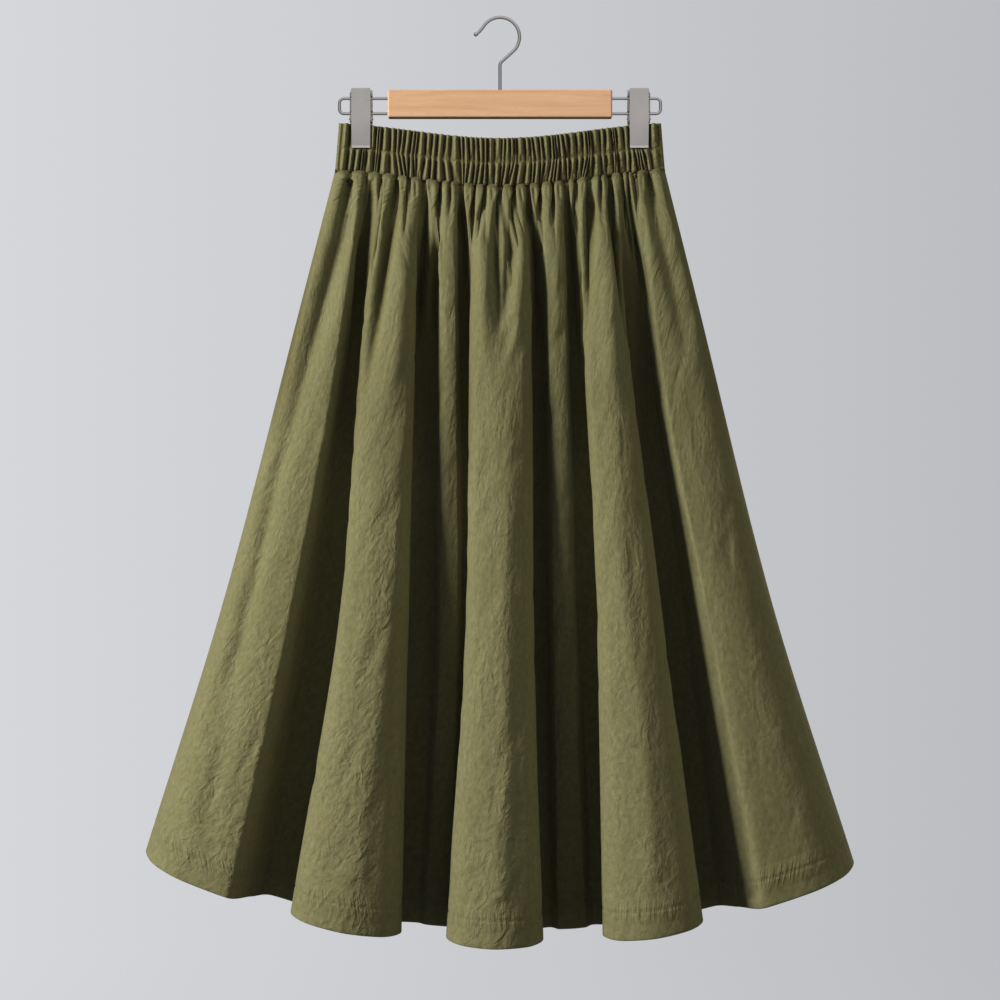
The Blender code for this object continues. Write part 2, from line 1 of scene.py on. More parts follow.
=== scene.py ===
"""A gathered cloth skirt on its wooden clip hanger: the looks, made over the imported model.

Metres, +Z up, the front of the skirt faces -Y, and the origin is the top of the inside of the hook.
"""

import json
import math
from collections import namedtuple

import bmesh
import bpy
import numpy as np
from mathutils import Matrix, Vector

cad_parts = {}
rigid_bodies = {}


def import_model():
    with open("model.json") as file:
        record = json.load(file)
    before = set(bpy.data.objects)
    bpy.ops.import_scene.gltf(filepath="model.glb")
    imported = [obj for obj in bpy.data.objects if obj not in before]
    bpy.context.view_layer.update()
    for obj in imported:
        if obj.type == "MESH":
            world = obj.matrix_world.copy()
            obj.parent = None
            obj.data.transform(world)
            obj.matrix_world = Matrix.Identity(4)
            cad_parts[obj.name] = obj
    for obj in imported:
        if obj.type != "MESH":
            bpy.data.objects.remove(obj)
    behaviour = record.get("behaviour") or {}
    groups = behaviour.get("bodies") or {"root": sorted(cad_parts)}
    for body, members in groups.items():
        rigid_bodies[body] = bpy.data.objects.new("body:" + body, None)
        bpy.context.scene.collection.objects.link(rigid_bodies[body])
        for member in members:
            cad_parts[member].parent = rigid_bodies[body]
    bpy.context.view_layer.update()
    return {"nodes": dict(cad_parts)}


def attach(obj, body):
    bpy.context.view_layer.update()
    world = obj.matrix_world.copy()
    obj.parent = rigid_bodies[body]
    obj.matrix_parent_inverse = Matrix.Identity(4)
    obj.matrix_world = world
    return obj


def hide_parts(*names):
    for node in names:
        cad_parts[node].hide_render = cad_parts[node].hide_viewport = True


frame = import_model()

# The bar of the hanger: a planed length of pale beech with softened edges, lacquered satin.
# It is bored through for the hook and bored at both ends for the rails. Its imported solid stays.
MM = 0.001


class Value:
    """A socket. Sums with it add Math nodes to its tree."""

    def __init__(self, nodes, socket):
        self.nodes = nodes
        self.socket = socket

    def math(self, operation, first, second):
        return self.nodes.add("ShaderNodeMath", {"operation": operation}, {0: first, 1: second})

    def __add__(self, other):
        return self.math("ADD", self, other)

    def __radd__(self, other):
        return self.math("ADD", other, self)

    def __sub__(self, other):
        return self.math("SUBTRACT", self, other)

    def __rsub__(self, other):
        return self.math("SUBTRACT", other, self)

    def __mul__(self, other):
        return self.math("MULTIPLY", self, other)

    def __rmul__(self, other):
        return self.math("MULTIPLY", other, self)

    def __truediv__(self, other):
        return self.math("DIVIDE", self, other)

    def __rtruediv__(self, other):
        return self.math("DIVIDE", other, self)

    def __abs__(self):
        return self.nodes.add("ShaderNodeMath", {"operation": "ABSOLUTE"}, {0: self})


class Nodes:
    """A node tree. Its add method gives a node its settings first, then its values and links."""

    def __init__(self, tree):
        self.tree = tree

    def feed(self, socket, value):
        if isinstance(value, Value):
            self.tree.links.new(value.socket, socket)
        else:
            socket.default_value = value

    def add(self, kind, settings=None, values=None, output=0):
        node = self.tree.nodes.new(kind)
        for name, setting in (settings or {}).items():
            if name == "stops":
                stops = node.color_ramp.elements
                stops.remove(stops[-1])
                stops[0].position, stops[0].color = setting[0]
                for position, colour in setting[1:]:
                    stops.new(position).color = colour
            else:
                setattr(node, name, setting)
        for key, value in (values or {}).items():
            self.feed(node.inputs[key], value)
        return Value(self, node.outputs[output])


class Paint(Nodes):
    """A material's nodes."""

    def __init__(self, name):
        self.material = bpy.data.materials.new(name)
        self.material.use_nodes = True
        super().__init__(self.material.node_tree)

    def ranged(self, value, start, end, low=0.0, high=1.0, how="LINEAR"):
        """Goes from low, where the value is at start, to high, where it is at end."""
        settings = {"clamp": True, "interpolation_type": how}
        values = {"Value": value, "From Min": start, "From Max": end, "To Min": low, "To Max": high}
        return self.add("ShaderNodeMapRange", settings, values)

    def ramp(self, share, stops):
        return self.add("ShaderNodeValToRGB", {"stops": stops}, {"Fac": share})


class Finish(Paint):
    """A finish: what is the same all over goes on its shader, and what varies is linked to it."""

    def __init__(self, name, constants):
        super().__init__(name)
        self.shader = self.tree.nodes["Principled BSDF"]
        for label, value in constants.items():
            self.shader.inputs[label].default_value = value

    def vary(self, label, value):
        self.feed(self.shader.inputs[label], value)

    def placed(self, size, turn=0.0, on=None):
        """Coordinates for a pattern with patches of this size in metres, turned about Z.

        The pattern lies in the piece as a solid, or flat on the coordinates that are given.
        """
        spot = on or self.add("ShaderNodeTexCoord", output="Object")
        values = {"Vector": spot, "Rotation": (0, 0, turn), "Scale": (*size, 1) if on else size}
        return self.add("ShaderNodeMapping", {"vector_type": "TEXTURE"}, values)

    def noise(self, spot, detail=2.0, rough=0.5, bend=0.0):
        """Cloudy patches with values round 0.5."""
        values = {"Vector": spot, "Scale": 1.0, "Detail": detail, "Roughness": rough, "Distortion": bend}
        return self.add("ShaderNodeTexNoise", {}, values)

    def blend(self, share, first, second, how="MIX"):
        """Two colours mixed."""
        settings = {"data_type": "RGBA", "blend_type": how}
        return self.add("ShaderNodeMix", settings, {0: share, 6: first, 7: second}, 2)

    def raise_by(self, height):
        """Bumps a height in metres."""
        return self.add("ShaderNodeBump", {}, {"Strength": 1.0, "Distance": 1.0, "Height": height})


beech = Finish("beech", {"Specular IOR Level": 0.4, "Coat Roughness": 0.3})
streaks = beech.noise(beech.placed((0.11, 0.0075, 0.0075)), detail=3.0, rough=0.55, bend=0.5)
fine_grain = beech.noise(beech.placed((0.014, 0.0007, 0.0007)), rough=0.6)
flecks = beech.noise(beech.placed((0.006, 0.0011, 0.0011)), detail=1.0)
grain_colour = beech.ramp(streaks, [
    (0.30, (0.640, 0.368, 0.196, 1)),
    (0.50, (0.705, 0.425, 0.240, 1)),
    (0.70, (0.750, 0.470, 0.276, 1)),
])
fleck_share = beech.ramp(flecks, [(0.60, (0, 0, 0, 1)), (0.72, (0.35, 0.35, 0.35, 1))])
grain_colour = beech.blend(fleck_share, grain_colour, (0.62, 0.34, 0.18, 1))
fine_share = beech.ramp(fine_grain, [(0.35, (0.95, 0.94, 0.93, 1)), (0.65, (1, 1, 1, 1))])
beech.vary("Base Color", beech.blend(1.0, grain_colour, fine_share, "MULTIPLY"))
beech.vary("Roughness", 0.42 + 0.16 * fine_grain)
beech.vary("Coat Weight", 0.10 + 0.10 * streaks)
beech.vary("Normal", beech.raise_by(fine_grain * (0.06 * MM)))
for bar_slot in frame["nodes"]["hanger_bar"].material_slots:
    bar_slot.material = beech.material

# The rails: one bent steel wire at each end, both of its ends glued into the bar.
# The clips slide along them. Each is drawn round, in place of its many-sided solid.
WIRE_SIDES = 20
RAIL_WIRE = 1.5 * MM              # radius
RAIL_UPPER = -79.5 * MM
RAIL_LOWER = -94.7 * MM
RAIL_END = 160.5 * MM             # middle of the wire at the outer end
RAIL_BEND = 4.5 * MM
RAIL_START = 97 * MM              # end of the wire inside the bar
BEND_POINTS = 14


def put(name, data):
    """A new object in the scene."""
    made = bpy.data.objects.new(name, data)
    bpy.context.collection.objects.link(made)
    return made


class Recipe(Nodes):
    """A Geometry Nodes tree with named sizes. Run on a path, it gives a plain mesh."""

    def __init__(self, name, sizes):
        super().__init__(bpy.data.node_groups.new(name, "GeometryNodeTree"))
        sockets = self.tree.interface
        sockets.new_socket("Path", in_out="INPUT", socket_type="NodeSocketGeometry")
        self.ids = {}
        for label, kind in {**sizes, "Finish": "NodeSocketMaterial"}.items():
            made = sockets.new_socket(label, in_out="INPUT", socket_type=kind)
            self.ids[label] = made.identifier
        sockets.new_socket("Piece", in_out="OUTPUT", socket_type="NodeSocketGeometry")
        self.start = self.tree.nodes.new("NodeGroupInput")
        self.end = self.tree.nodes.new("NodeGroupOutput")

    def given(self, label):
        return Value(self, self.start.outputs[label])

    def finish(self, shape):
        real = self.add("GeometryNodeRealizeInstances", {}, {"Geometry": shape})
        values = {"Geometry": real, "Material": self.given("Finish")}
        self.feed(self.end.inputs[0], self.add("GeometryNodeSetMaterial", {}, values))

    def run(self, name, path, sizes, finish):
        """The piece that this recipe makes along a path."""
        making = path.modifiers.new("making", "NODES")
        making.node_group = self.tree
        for label, value in {**sizes, "Finish": finish.material}.items():
            making[self.ids[label]] = value
        graph = bpy.context.evaluated_depsgraph_get()
        made = bpy.data.meshes.new_from_object(path.evaluated_get(graph), depsgraph=graph)
        path.modifiers.remove(making)
        bpy.data.objects.remove(path)
        return put(name, made)


round_wire = Recipe("round_wire", {"Radius": "NodeSocketFloat", "Sides": "NodeSocketInt"})
middle_line = round_wire.add("GeometryNodeMeshToCurve", {}, {"Mesh": round_wire.given("Path")})
section = round_wire.add(
    "GeometryNodeCurvePrimitiveCircle",
    {"mode": "RADIUS"},
    {"Resolution": round_wire.given("Sides"), "Radius": round_wire.given("Radius")},
)
thick = round_wire.add("GeometryNodeInputNamedAttribute", {"data_type": "FLOAT"}, {"Name": "thick"})
swept = round_wire.add(
    "GeometryNodeCurveToMesh",
    {},
    {"Curve": middle_line, "Profile Curve": section, "Scale": thick, "Fill Caps": True},
)
round_wire.finish(round_wire.add("GeometryNodeSetShadeSmooth", {}, {"Geometry": swept}))


def path_of(lines, thick=None):
    """A path object of one or more lines of points, with how thick the wire is at each point."""
    points = []
    edges = []
    for line in lines:
        edges += [(len(points) + i, len(points) + i + 1) for i in range(len(line) - 1)]
        points += [tuple(p) for p in line]
    mesh = bpy.data.meshes.new("path")
    mesh.from_pydata(points, edges, [])
    widths = [1.0] * len(points) if thick is None else list(thick)
    mesh.attributes.new("thick", "FLOAT", "POINT").data.foreach_set("value", widths)
    return put("path", mesh)


def arc(centre_x, centre_z, radius, start, end, count):
    """Points along an arc in the plane of the hanger, with angles in degrees from +X."""
    angles = np.radians(np.linspace(start, end, count))
    return [(centre_x + radius * math.cos(a), 0, centre_z + radius * math.sin(a)) for a in angles]


def belongs(piece, slot, *solids):
    """The piece rides on the one body and hides the solids it stands for; its slot is not used."""
    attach(piece, "root")
    if solids:
        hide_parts(*solids)


wire_steel = Finish("wire_steel", {"Metallic": 1.0, "Specular Tint": (0.10, 0.10, 0.10, 1)})
drawn = wire_steel.noise(wire_steel.placed((0.004, 0.004, 0.004)))
worn = wire_steel.noise(wire_steel.placed((0.022, 0.022, 0.022)))
wire_steel.vary("Base Color", wire_steel.blend(worn, (0.40, 0.395, 0.38, 1), (0.52, 0.51, 0.495, 1)))
wire_steel.vary("Roughness", 0.24 + 0.10 * drawn)


def steel_wire(name, solid, line, radius, thick=None, sides=WIRE_SIDES):
    """A wire along a line of points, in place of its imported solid."""
    sizes = {"Radius": radius, "Sides": sides}
    wire = round_wire.run(name, path_of([line], thick), sizes, wire_steel)
    belongs(wire, "steel", solid)


for rail_name, side in (("rail_left", -1), ("rail_right", 1)):
    corner = RAIL_END - RAIL_BEND
    route = [(RAIL_START, 0, RAIL_UPPER)]
    route += arc(corner, RAIL_UPPER - RAIL_BEND, RAIL_BEND, 90, 0, BEND_POINTS)
    route += arc(corner, RAIL_LOWER + RAIL_BEND, RAIL_BEND, 0, -90, BEND_POINTS)
    route.append((RAIL_START, 0, RAIL_LOWER))
    route = [(side * x, y, z) for x, y, z in route]
    steel_wire(f"{rail_name}_wire", rail_name, route, RAIL_WIRE)

# The hook: steel wire bent round to a bow, with a small ball on its flicked tip.
# Its stem runs down through the bar and is fixed there.
HOOK_WIRE = 1.65 * MM             # radius
HOOK_RADIUS = 19.5 * MM           # to the middle of the wire
HOOK_START = 142                  # degrees from +X, where the bow meets its tip
HOOK_TURN = 48                    # degrees that the bow runs on below its widest place
HOOK_BEND = 5 * MM
HOOK_FOOT = -99.0 * MM
HOOK_POINTS = {"tip": 34, "bow": 72, "bend": 12}
BALL = 1.32                       # radius of the ball, in wires
BALL_LENGTH = 4.4 * MM
BALL_END = 0.003                  # least square of the ball's half width, so that its end closes

# The flicked tip, from its end to where the bow starts: across and up from there, in millimetres
HOOK_TIP = ((-10.6, -10.8), (-9.6, -10.1), (-7.4, -8.4), (-4.6, -5.8), (-2.2, -2.9), (0, 0))


def glide(knots, values, at, flat_ends=False):
    """Smooth curve through values that never swings past them."""
    knots = np.asarray(knots, float)
    values = np.asarray(values, float)
    step = np.diff(knots)
    slope = np.diff(values) / step
    lean = np.zeros(len(knots))
    for i in range(1, len(knots) - 1):
        if slope[i - 1] * slope[i] > 0:
            before = 2 * step[i] + step[i - 1]
            after = step[i] + 2 * step[i - 1]
            lean[i] = (before + after) / (before / slope[i - 1] + after / slope[i])
    if not flat_ends:
        lean[0] = slope[0]
        lean[-1] = slope[-1]
    i = np.clip(np.searchsorted(knots, at, side="right") - 1, 0, len(step) - 1)
    f = (at - knots[i]) / step[i]
    return (
        values[i] * (1 + 2 * f) * (1 - f) ** 2
        + lean[i] * step[i] * f * (1 - f) ** 2
        + values[i + 1] * f * f * (3 - 2 * f)
        + lean[i + 1] * step[i] * f * f * (f - 1)
    )


bow = arc(0, HOOK_WIRE - HOOK_RADIUS, HOOK_RADIUS, HOOK_START, -HOOK_TURN, HOOK_POINTS["bow"])
tip_knots = np.array(HOOK_TIP) * MM
tip_run = np.concatenate([[0], np.cumsum(np.linalg.norm(np.diff(tip_knots, axis=0), axis=1))])
tip_at = np.linspace(0, tip_run[-1], HOOK_POINTS["tip"])[:-1]
tip_x = bow[0][0] + glide(tip_run, tip_knots[:, 0], tip_at)
tip_z = bow[0][2] + glide(tip_run, tip_knots[:, 1], tip_at)
tip = [(x, 0, z) for x, z in zip(tip_x, tip_z)]
hook_turn = math.radians(HOOK_TURN)
stem_top = bow[-1][2] - bow[-1][0] / math.tan(hook_turn) - HOOK_BEND * math.tan(hook_turn / 2)
hook_line = tip + bow
hook_line += arc(HOOK_BEND, stem_top, HOOK_BEND, 180 - HOOK_TURN, 180, HOOK_POINTS["bend"])
hook_line += [(0, 0, (stem_top + HOOK_FOOT) / 2), (0, 0, HOOK_FOOT)]
from_middle = (tip_at - BALL_LENGTH / 2) / (BALL_LENGTH / 2)
ball = BALL * np.sqrt(np.clip(1 - from_middle ** 2, BALL_END, 1))
hook_thick = np.ones(len(hook_line))
hook_thick[:len(tip)] = np.where(tip_at < BALL_LENGTH / 2, ball, np.maximum(ball, 1))
steel_wire("hook_wire", "hanger_hook", hook_line, HOOK_WIRE, hook_thick)

# The clips: two pressed plates on a pin at each end of the hanger, satin nickel plated.
# Each plate has a face, a turned lip at its jaw, and an ear on each edge, notched for the rails.
GAP = 0.3 * MM                    # between pieces that touch
CLIP_X = 138.8 * MM
CLIP_WIDTH = 19.8 * MM
CLIP_TOP = -70 * MM
CLIP_FOOT = -130 * MM
CLIP_LIP = 2.6 * MM
CLIP_FLARE = 0.5 * MM
CLIP_GROOVE = 0.28 * MM           # depth of the line that is pressed in above the lip
CLIP_GROOVE_HALF = 0.7 * MM       # half its width
PLATE = 1.1 * MM
PLATE_INSIDE = 4.7 * MM           # inner face, from the middle plane
PLATE_EDGE = 0.32 * MM            # rounding of its edges
PLATE_CORNER = 40                 # degrees from which an edge counts as one
EAR_TOP = -74 * MM
EAR_FOOT = -103.4 * MM
EAR_REACH = 3.2 * MM
PIN_Z = -100 * MM
PIN_RADIUS = 1.2 * MM
HOLE_SIDES = 8                    # of each half of the pin hole

nickel = Finish("satin_nickel", {"Metallic": 1.0})
rolled = nickel.noise(nickel.placed((0.0011, 0.0011, 0.008)), rough=0.6)
cloudy = nickel.noise(nickel.placed((0.026, 0.026, 0.033)), detail=3.0, rough=0.55)
nickel.vary("Base Color", nickel.blend(cloudy, (0.46, 0.435, 0.41, 1), (0.62, 0.59, 0.56, 1)))
nickel.vary("Roughness", 0.34 + 0.12 * rolled + 0.06 * cloudy)
nickel.vary("Normal", nickel.raise_by(rolled * (0.012 * MM)))


def ear_parts(side):
    """An ear's outline in depth and height, in two parts that meet at the pin hole."""
    room = RAIL_WIRE + GAP
    reach = side * EAR_REACH
    notch = -side * room
    hole = PIN_RADIUS + GAP
    turns = [math.pi * i / HOLE_SIDES for i in range(HOLE_SIDES + 1)]
    upper = [(reach, EAR_TOP)]
    for z in (RAIL_UPPER, RAIL_LOWER):
        upper += [(reach, z + room), (notch, z + room), (notch, z - room), (reach, z - room)]
    upper.append((reach, PIN_Z))
    upper += [(side * hole * math.cos(a), PIN_Z + hole * math.sin(a)) for a in turns]
    lower = [(-side * hole * math.cos(a), PIN_Z - hole * math.sin(a)) for a in turns]
    lower += [(reach, PIN_Z), (reach, EAR_FOOT)]
    return upper, lower


def clip_plate(name, x, half, side):
    """One pressed plate; side is -1 in front and 1 behind."""
    face = side * (PLATE_INSIDE + PLATE / 2)
    lip = CLIP_FOOT + CLIP_LIP
    rows = (
        (CLIP_TOP, face), (EAR_TOP, face), (PIN_Z, face), (EAR_FOOT, face),
        (lip + CLIP_GROOVE_HALF, face), (lip, face - side * CLIP_GROOVE),
        (lip - CLIP_GROOVE_HALF, face), (CLIP_FOOT, face + side * CLIP_FLARE),
    )
    shape = bmesh.new()
    edges = {}
    for end in (-1, 1):
        edges[end] = [shape.verts.new((x + end * half, y, z)) for z, y in rows]
    for i in range(len(rows) - 1):
        shape.faces.new((edges[-1][i], edges[-1][i + 1], edges[1][i + 1], edges[1][i]))
    for end in (-1, 1):
        upper, lower = ear_parts(-side)
        upper = [shape.verts.new((x + end * half, y, z)) for y, z in upper]
        lower = [shape.verts.new((x + end * half, y, z)) for y, z in lower]
        shape.faces.new([edges[end][1], *upper, edges[end][2]])
        shape.faces.new([edges[end][2], *lower, edges[end][3]])
    bmesh.ops.remove_doubles(shape, verts=shape.verts, dist=0.01 * MM)
    bmesh.ops.recalc_face_normals(shape, faces=shape.faces)
    mesh = bpy.data.meshes.new(name)
    shape.to_mesh(mesh)
    shape.free()
    mesh.materials.append(nickel.material)
    mesh.shade_smooth()
    plate = put(name, mesh)
    sheet = plate.modifiers.new("sheet", "SOLIDIFY")
    sheet.thickness = PLATE
    sheet.offset = 0
    sheet.use_even_offset = True
    rounding = plate.modifiers.new("rounding", "BEVEL")
    rounding.width = PLATE_EDGE
    rounding.segments = 2
    rounding.limit_method = "ANGLE"
    rounding.angle_limit = math.radians(PLATE_CORNER)
    rounding.harden_normals = True
    return plate


for end_name, side in (("left", -1), ("right", 1)):
    narrow = (CLIP_WIDTH - PLATE) / 2
    wide = CLIP_WIDTH / 2 + PLATE / 2 + GAP
    for face_name, half, facing in (("front", narrow, -1), ("back", wide, 1)):
        plate = clip_plate(f"{face_name}_plate_{end_name}", side * CLIP_X, half, facing)
        belongs(plate, "nickel", f"clip_{face_name}_{end_name}")

# The pin and the spring of each clip: a headless steel pin through both plates' ears,
# and a wire coiled round it whose two legs push the plates apart at the top.
PIN_HALF = 12.25 * MM
PIN_DOME = (0, 0.06, 0.2, 0.45, 0.8, 1.2)   # rings of its round ends, in millimetres from the end
PIN_END = 0.01                    # least square of its half width there, so that the end closes
SPRING_WIRE = 0.42 * MM           # radius
SPRING_RADIUS = 1.97 * MM         # to the middle of the wire
SPRING_HALF = 7.15 * MM
SPRING_TURNS = 15
SPRING_POINTS = 16                # on each turn
SPRING_SIDES = 8
SPRING_LEG = 10 * MM

for end_name, side in (("left", -1), ("right", 1)):
    x = side * CLIP_X
    from_end = np.array(PIN_DOME) * MM
    dome = np.sqrt(np.clip(1 - (1 - from_end / from_end[-1]) ** 2, PIN_END, 1))
    places = np.concatenate([from_end - PIN_HALF, PIN_HALF - from_end[::-1]])
    axle = [(x + p, 0, PIN_Z) for p in places]
    steel_wire(f"pin_{end_name}", f"clip_pin_{end_name}", axle, PIN_RADIUS, [*dome, *dome[::-1]])

    turns = np.linspace(0, SPRING_TURNS + 0.5, SPRING_POINTS * SPRING_TURNS)
    coil = [
        (
            x + SPRING_HALF * (2 * t / turns[-1] - 1),
            -SPRING_RADIUS * math.cos(2 * math.pi * t),
            PIN_Z + SPRING_RADIUS * math.sin(2 * math.pi * t),
        )
        for t in turns
    ]
    first_leg = (coil[0][0], -PLATE_INSIDE + 2 * SPRING_WIRE, PIN_Z + SPRING_LEG)
    last_leg = (coil[-1][0], PLATE_INSIDE - 2 * SPRING_WIRE, PIN_Z + SPRING_LEG)
    steel_wire(
        f"spring_{end_name}", f"clip_spring_{end_name}", [first_leg, *coil, last_leg], SPRING_WIRE,
        sides=SPRING_SIDES,
    )

# The waistband: one strip of the skirt's cotton, folded over two rows of elastic and stitched
# between them. The elastic draws it up into narrow upright gathers, which the clips press flat.
BAND_TOP = -104 * MM
BAND_HEIGHT = 48 * MM
BAND_DIP = 16.5 * MM              # sag of its middle
BAND_DIP_REACH = 175 * MM
BAND_HALF_TOP = 161 * MM
BAND_HALF_FOOT = 165 * MM
BAND_WALL = 2.0 * MM
BAND_SLOT = 1.5 * MM              # half the space inside it at the clips
BAND_BOW = 7.5 * MM               # how much further it bows open in the middle
BAND_FLAT_FROM = 124 * MM
BAND_BOW_POWER = 1.3
BAND_STITCHED = 25 * MM           # drop of the stitching between its two channels
BAND_GATHERS = 62                 # on each side
BAND_COLUMNS = 13                 # for each gather
BAND_UNEVEN = 0.68                # how much the gathers' widths differ at the top edge,
BAND_DRIFTS = 0.24                # and how much they change from there to the stitching
BAND_END_WIDTHS = (1.7, 1.4, 1.4, 1.7)   # of the first two and the last two
BAND_LEAST = 0.7                  # least width of a gather at the foot, in mean half widths
BAND_WANDER = (0.5, 0.45)         # gathers they move by below the stitching, by chance and in waves,
BAND_STEADY = 0.12                # but less near the ends, in this part of half the width
BAND_TALL = (0.55, 1.12)          # how tall they are, as a part of the relief
BAND_CHANGE = 2 * MM              # how far round the stitching one channel's gathers become the other's
BAND_VALLEY = 0.42                # depth of the valleys, as a part of the crests' height
BAND_SHARPNESS = 1.08
BAND_FORKED = 0.5                 # share of the gathers that fork in two down a channel
BAND_FORK_DEEP = (0.4, 0.95)
BAND_FORK_HALF = 0.17             # half width of the groove in the fork, in gathers
BAND_FORK_DROPS = ((9 * MM, 23 * MM), (31 * MM, 46 * MM))   # where it deepens in each channel
BAND_CALM = 0.3                   # gathers in which they fade towards the ends
BAND_PRESSED = 0.9 * MM           # how proud they stand under a clip,
BAND_SPRINGS = 3 * MM             # and how much prouder they may stand when free of it:
BAND_BESIDE = (0.8 * MM, 4 * MM)  # beside its edge they rise from here to there,
BAND_UNDER = (0.5 * MM, 4 * MM)   # and the same under its foot
BAND_SUNK = 0.6 * MM              # how far the valleys sink at the folded top edge,
BAND_SUNK_BY = 3 * MM             # and down to where
BAND_FOLD = 1.0 * MM              # radius of the folded top edge
BAND_EASE = 0.5 * MM              # how much wider it is inside right under the fold
BAND_TUCK = 1.4 * MM              # how far its foot goes in at the seam,
BAND_TUCK_REACH = 2.2 * MM        # and from how far above the seam
BAND_END_STEPS = 10               # round each end
BAND_CLOTH = 0.95                 # length of its cloth all round
BAND_PAINTED_SHADE = 1.4                   # how dark the painted shade is on the cloth between gathers
BAND_PAINTED_SHADE_AT = 3 * MM             # that stand at least so proud,
BAND_LIGHTENS = 1.8               # and how soon it lightens up their sides
SEWN_PAINTED_SHADE = 0.5                   # how dark the painted shade is along the stitched groove,
SEWN_HALF = 0.9 * MM              # and about half how wide
PAINTED_SHADE_INSIDE = 0.6               # how dark the painted shade is inside the waistband

# Its rows: round its folded top edge, in degrees, and then so many steps to each further drop
BAND_FOLD_TURNS = (0, 28, 52, 72, 90)
BAND_STEPS = ((22 * MM, 16), (28 * MM, 8), (45 * MM, 11), (BAND_HEIGHT, 5))
BAND_INNER_DROPS = (0.35 * MM, 1.3 * MM, 24 * MM, BAND_HEIGHT)

# How proud its gathers stand at each drop below the top edge, in millimetres
BAND_RELIEF = (
    (0, 1.6), (1.5, 3.0), (5, 4.5), (18, 4.6), (22.5, 3.4), (25, 1.3), (27.5, 3.2),
    (32, 4.6), (42, 4.6), (46, 3.5), (48, 2.2),
)

cotton = Finish("olive_cotton", {
    "Specular IOR Level": 0.5,
    "Sheen Weight": 0.14,
    "Sheen Roughness": 0.45,
    "Sheen Tint": (0.90, 0.88, 0.72, 1),
})
CLOTH_MAP = "cloth"
# name of each point's share of painted shade
PAINTED_SHADE_MAP = "hollow"
CLOTH_CORNER = 78                 # degrees from which an edge of the cloth looks sharp
HEM_SEWN = 0.710                  # drop below the seam of the hem's stitching
LEAN = 0.18                       # how far its crinkles lean from the way the cloth hangs
CLOTH_AT_SEAM = 0.42              # width of a panel's cloth at the seam,
CLOTH_GAINS = 1.32                # and what it gains for each metre of drop

# Where a spot lies on the flat cloth: plainly, and with what is across drawn in like the gathers
on_cloth = cotton.add("ShaderNodeUVMap", {"uv_map": CLOTH_MAP})
across = cotton.add("ShaderNodeSeparateXYZ", {}, {"Vector": on_cloth}, "X")
drop = cotton.add("ShaderNodeSeparateXYZ", {}, {"Vector": on_cloth}, "Y")
drawn_in = across / (drop * CLOTH_GAINS + CLOTH_AT_SEAM)
hanging = cotton.add("ShaderNodeCombineXYZ", {}, {"X": drawn_in, "Y": drop})
threads = cotton.noise(cotton.placed((0.0005, 0.0012), on=on_cloth), detail=1.0)
slubs = cotton.noise(cotton.placed((0.0025, 0.017), on=on_cloth), rough=0.55)
washed = cotton.noise(cotton.placed((0.040, 0.085), on=on_cloth), detail=3.0, rough=0.6)
mottled = cotton.noise(cotton.placed((0.004, 0.007), LEAN, hanging), detail=3.0, rough=0.65)
broad = cotton.noise(cotton.placed((0.020, 0.052), LEAN, hanging), bend=0.5)
creased = cotton.noise(
    cotton.placed((0.0092, 0.0180), LEAN, hanging), detail=3.0, rough=0.44, bend=0.45
)
dimpled = cotton.noise(
    cotton.placed((0.0038, 0.0055), LEAN, hanging), detail=3.0, rough=0.6, bend=0.5
)
pleated = cotton.noise(cotton.placed((0.0030, 0.026), on=on_cloth), bend=0.3)

# Its colour: olive with washed patches and small mottles, with painted shade that makes it darker
# and yellower deep in the folds, under the waist seam and inside the waistband
olive = cotton.blend(washed, (0.132, 0.125, 0.051, 1), (0.178, 0.167, 0.079, 1))
tones = cotton.ramp(mottled, [(0.30, (0.77, 0.78, 0.78, 1)), (0.70, (1.12, 1.11, 1.08, 1))])
# Painted shade: each point's share of it turns the colour darker and yellower
hollow = cotton.add("ShaderNodeAttribute", {"attribute_name": PAINTED_SHADE_MAP}, {}, "Fac")
shade = cotton.ramp(hollow, [(0.0, (1, 1, 1, 1)), (1.0, (0.46, 0.43, 0.28, 1))])
mottled_olive = cotton.blend(1.0, olive, tones, "MULTIPLY")
cotton.vary("Base Color", cotton.blend(1.0, mottled_olive, shade, "MULTIPLY"))
cotton.vary("Roughness", 0.72 + 0.16 * slubs)

# Its relief: broad ripples, crinkles that grow down the skirt and fade towards its right side,
# puckers where the hem is sewn, and the weave with its slubs
where_crumpled = cotton.ramp(washed, [(0.36, (0.35, 0.35, 0.35, 1)), (0.56, (1, 1, 1, 1))])
lower_down = cotton.ranged(drop, start=0.06, end=0.60, low=0.28, high=1.5)
smoother = cotton.ranged(across, start=0.18, end=0.40, low=1.0, high=0.32)
by_hem = cotton.ranged(abs(drop - HEM_SEWN), start=0.003, end=0.013, low=1.0, high=0.0)
crumpled = (abs(creased - 0.5) * (-3.0 * MM) + dimpled * (0.8 * MM)) * lower_down * smoother
puckered = pleated * by_hem * (2.2 * MM)
woven = threads * (0.05 * MM) + slubs * (0.10 * MM)
cloth_height = broad * (2.3 * MM) + crumpled * where_crumpled + puckered + woven
cotton.vary("Normal", cotton.raise_by(cloth_height))


def fade(at, start, end):
    """Goes smoothly from 0 at start to 1 at end."""
    part = np.clip((at - start) / (end - start), 0, 1)
    return part * part * (3 - 2 * part)


def band_dip(x):
    """How far the waistband has sagged at x."""
    return BAND_DIP * np.cos(math.pi / 2 * x / BAND_DIP_REACH) ** 2


def band_space(x):
    """Half the space inside the waistband at x."""
    across = np.minimum(np.abs(x) / BAND_FLAT_FROM, 1)
    return BAND_SLOT + BAND_BOW * (1 - across ** 2) ** BAND_BOW_POWER


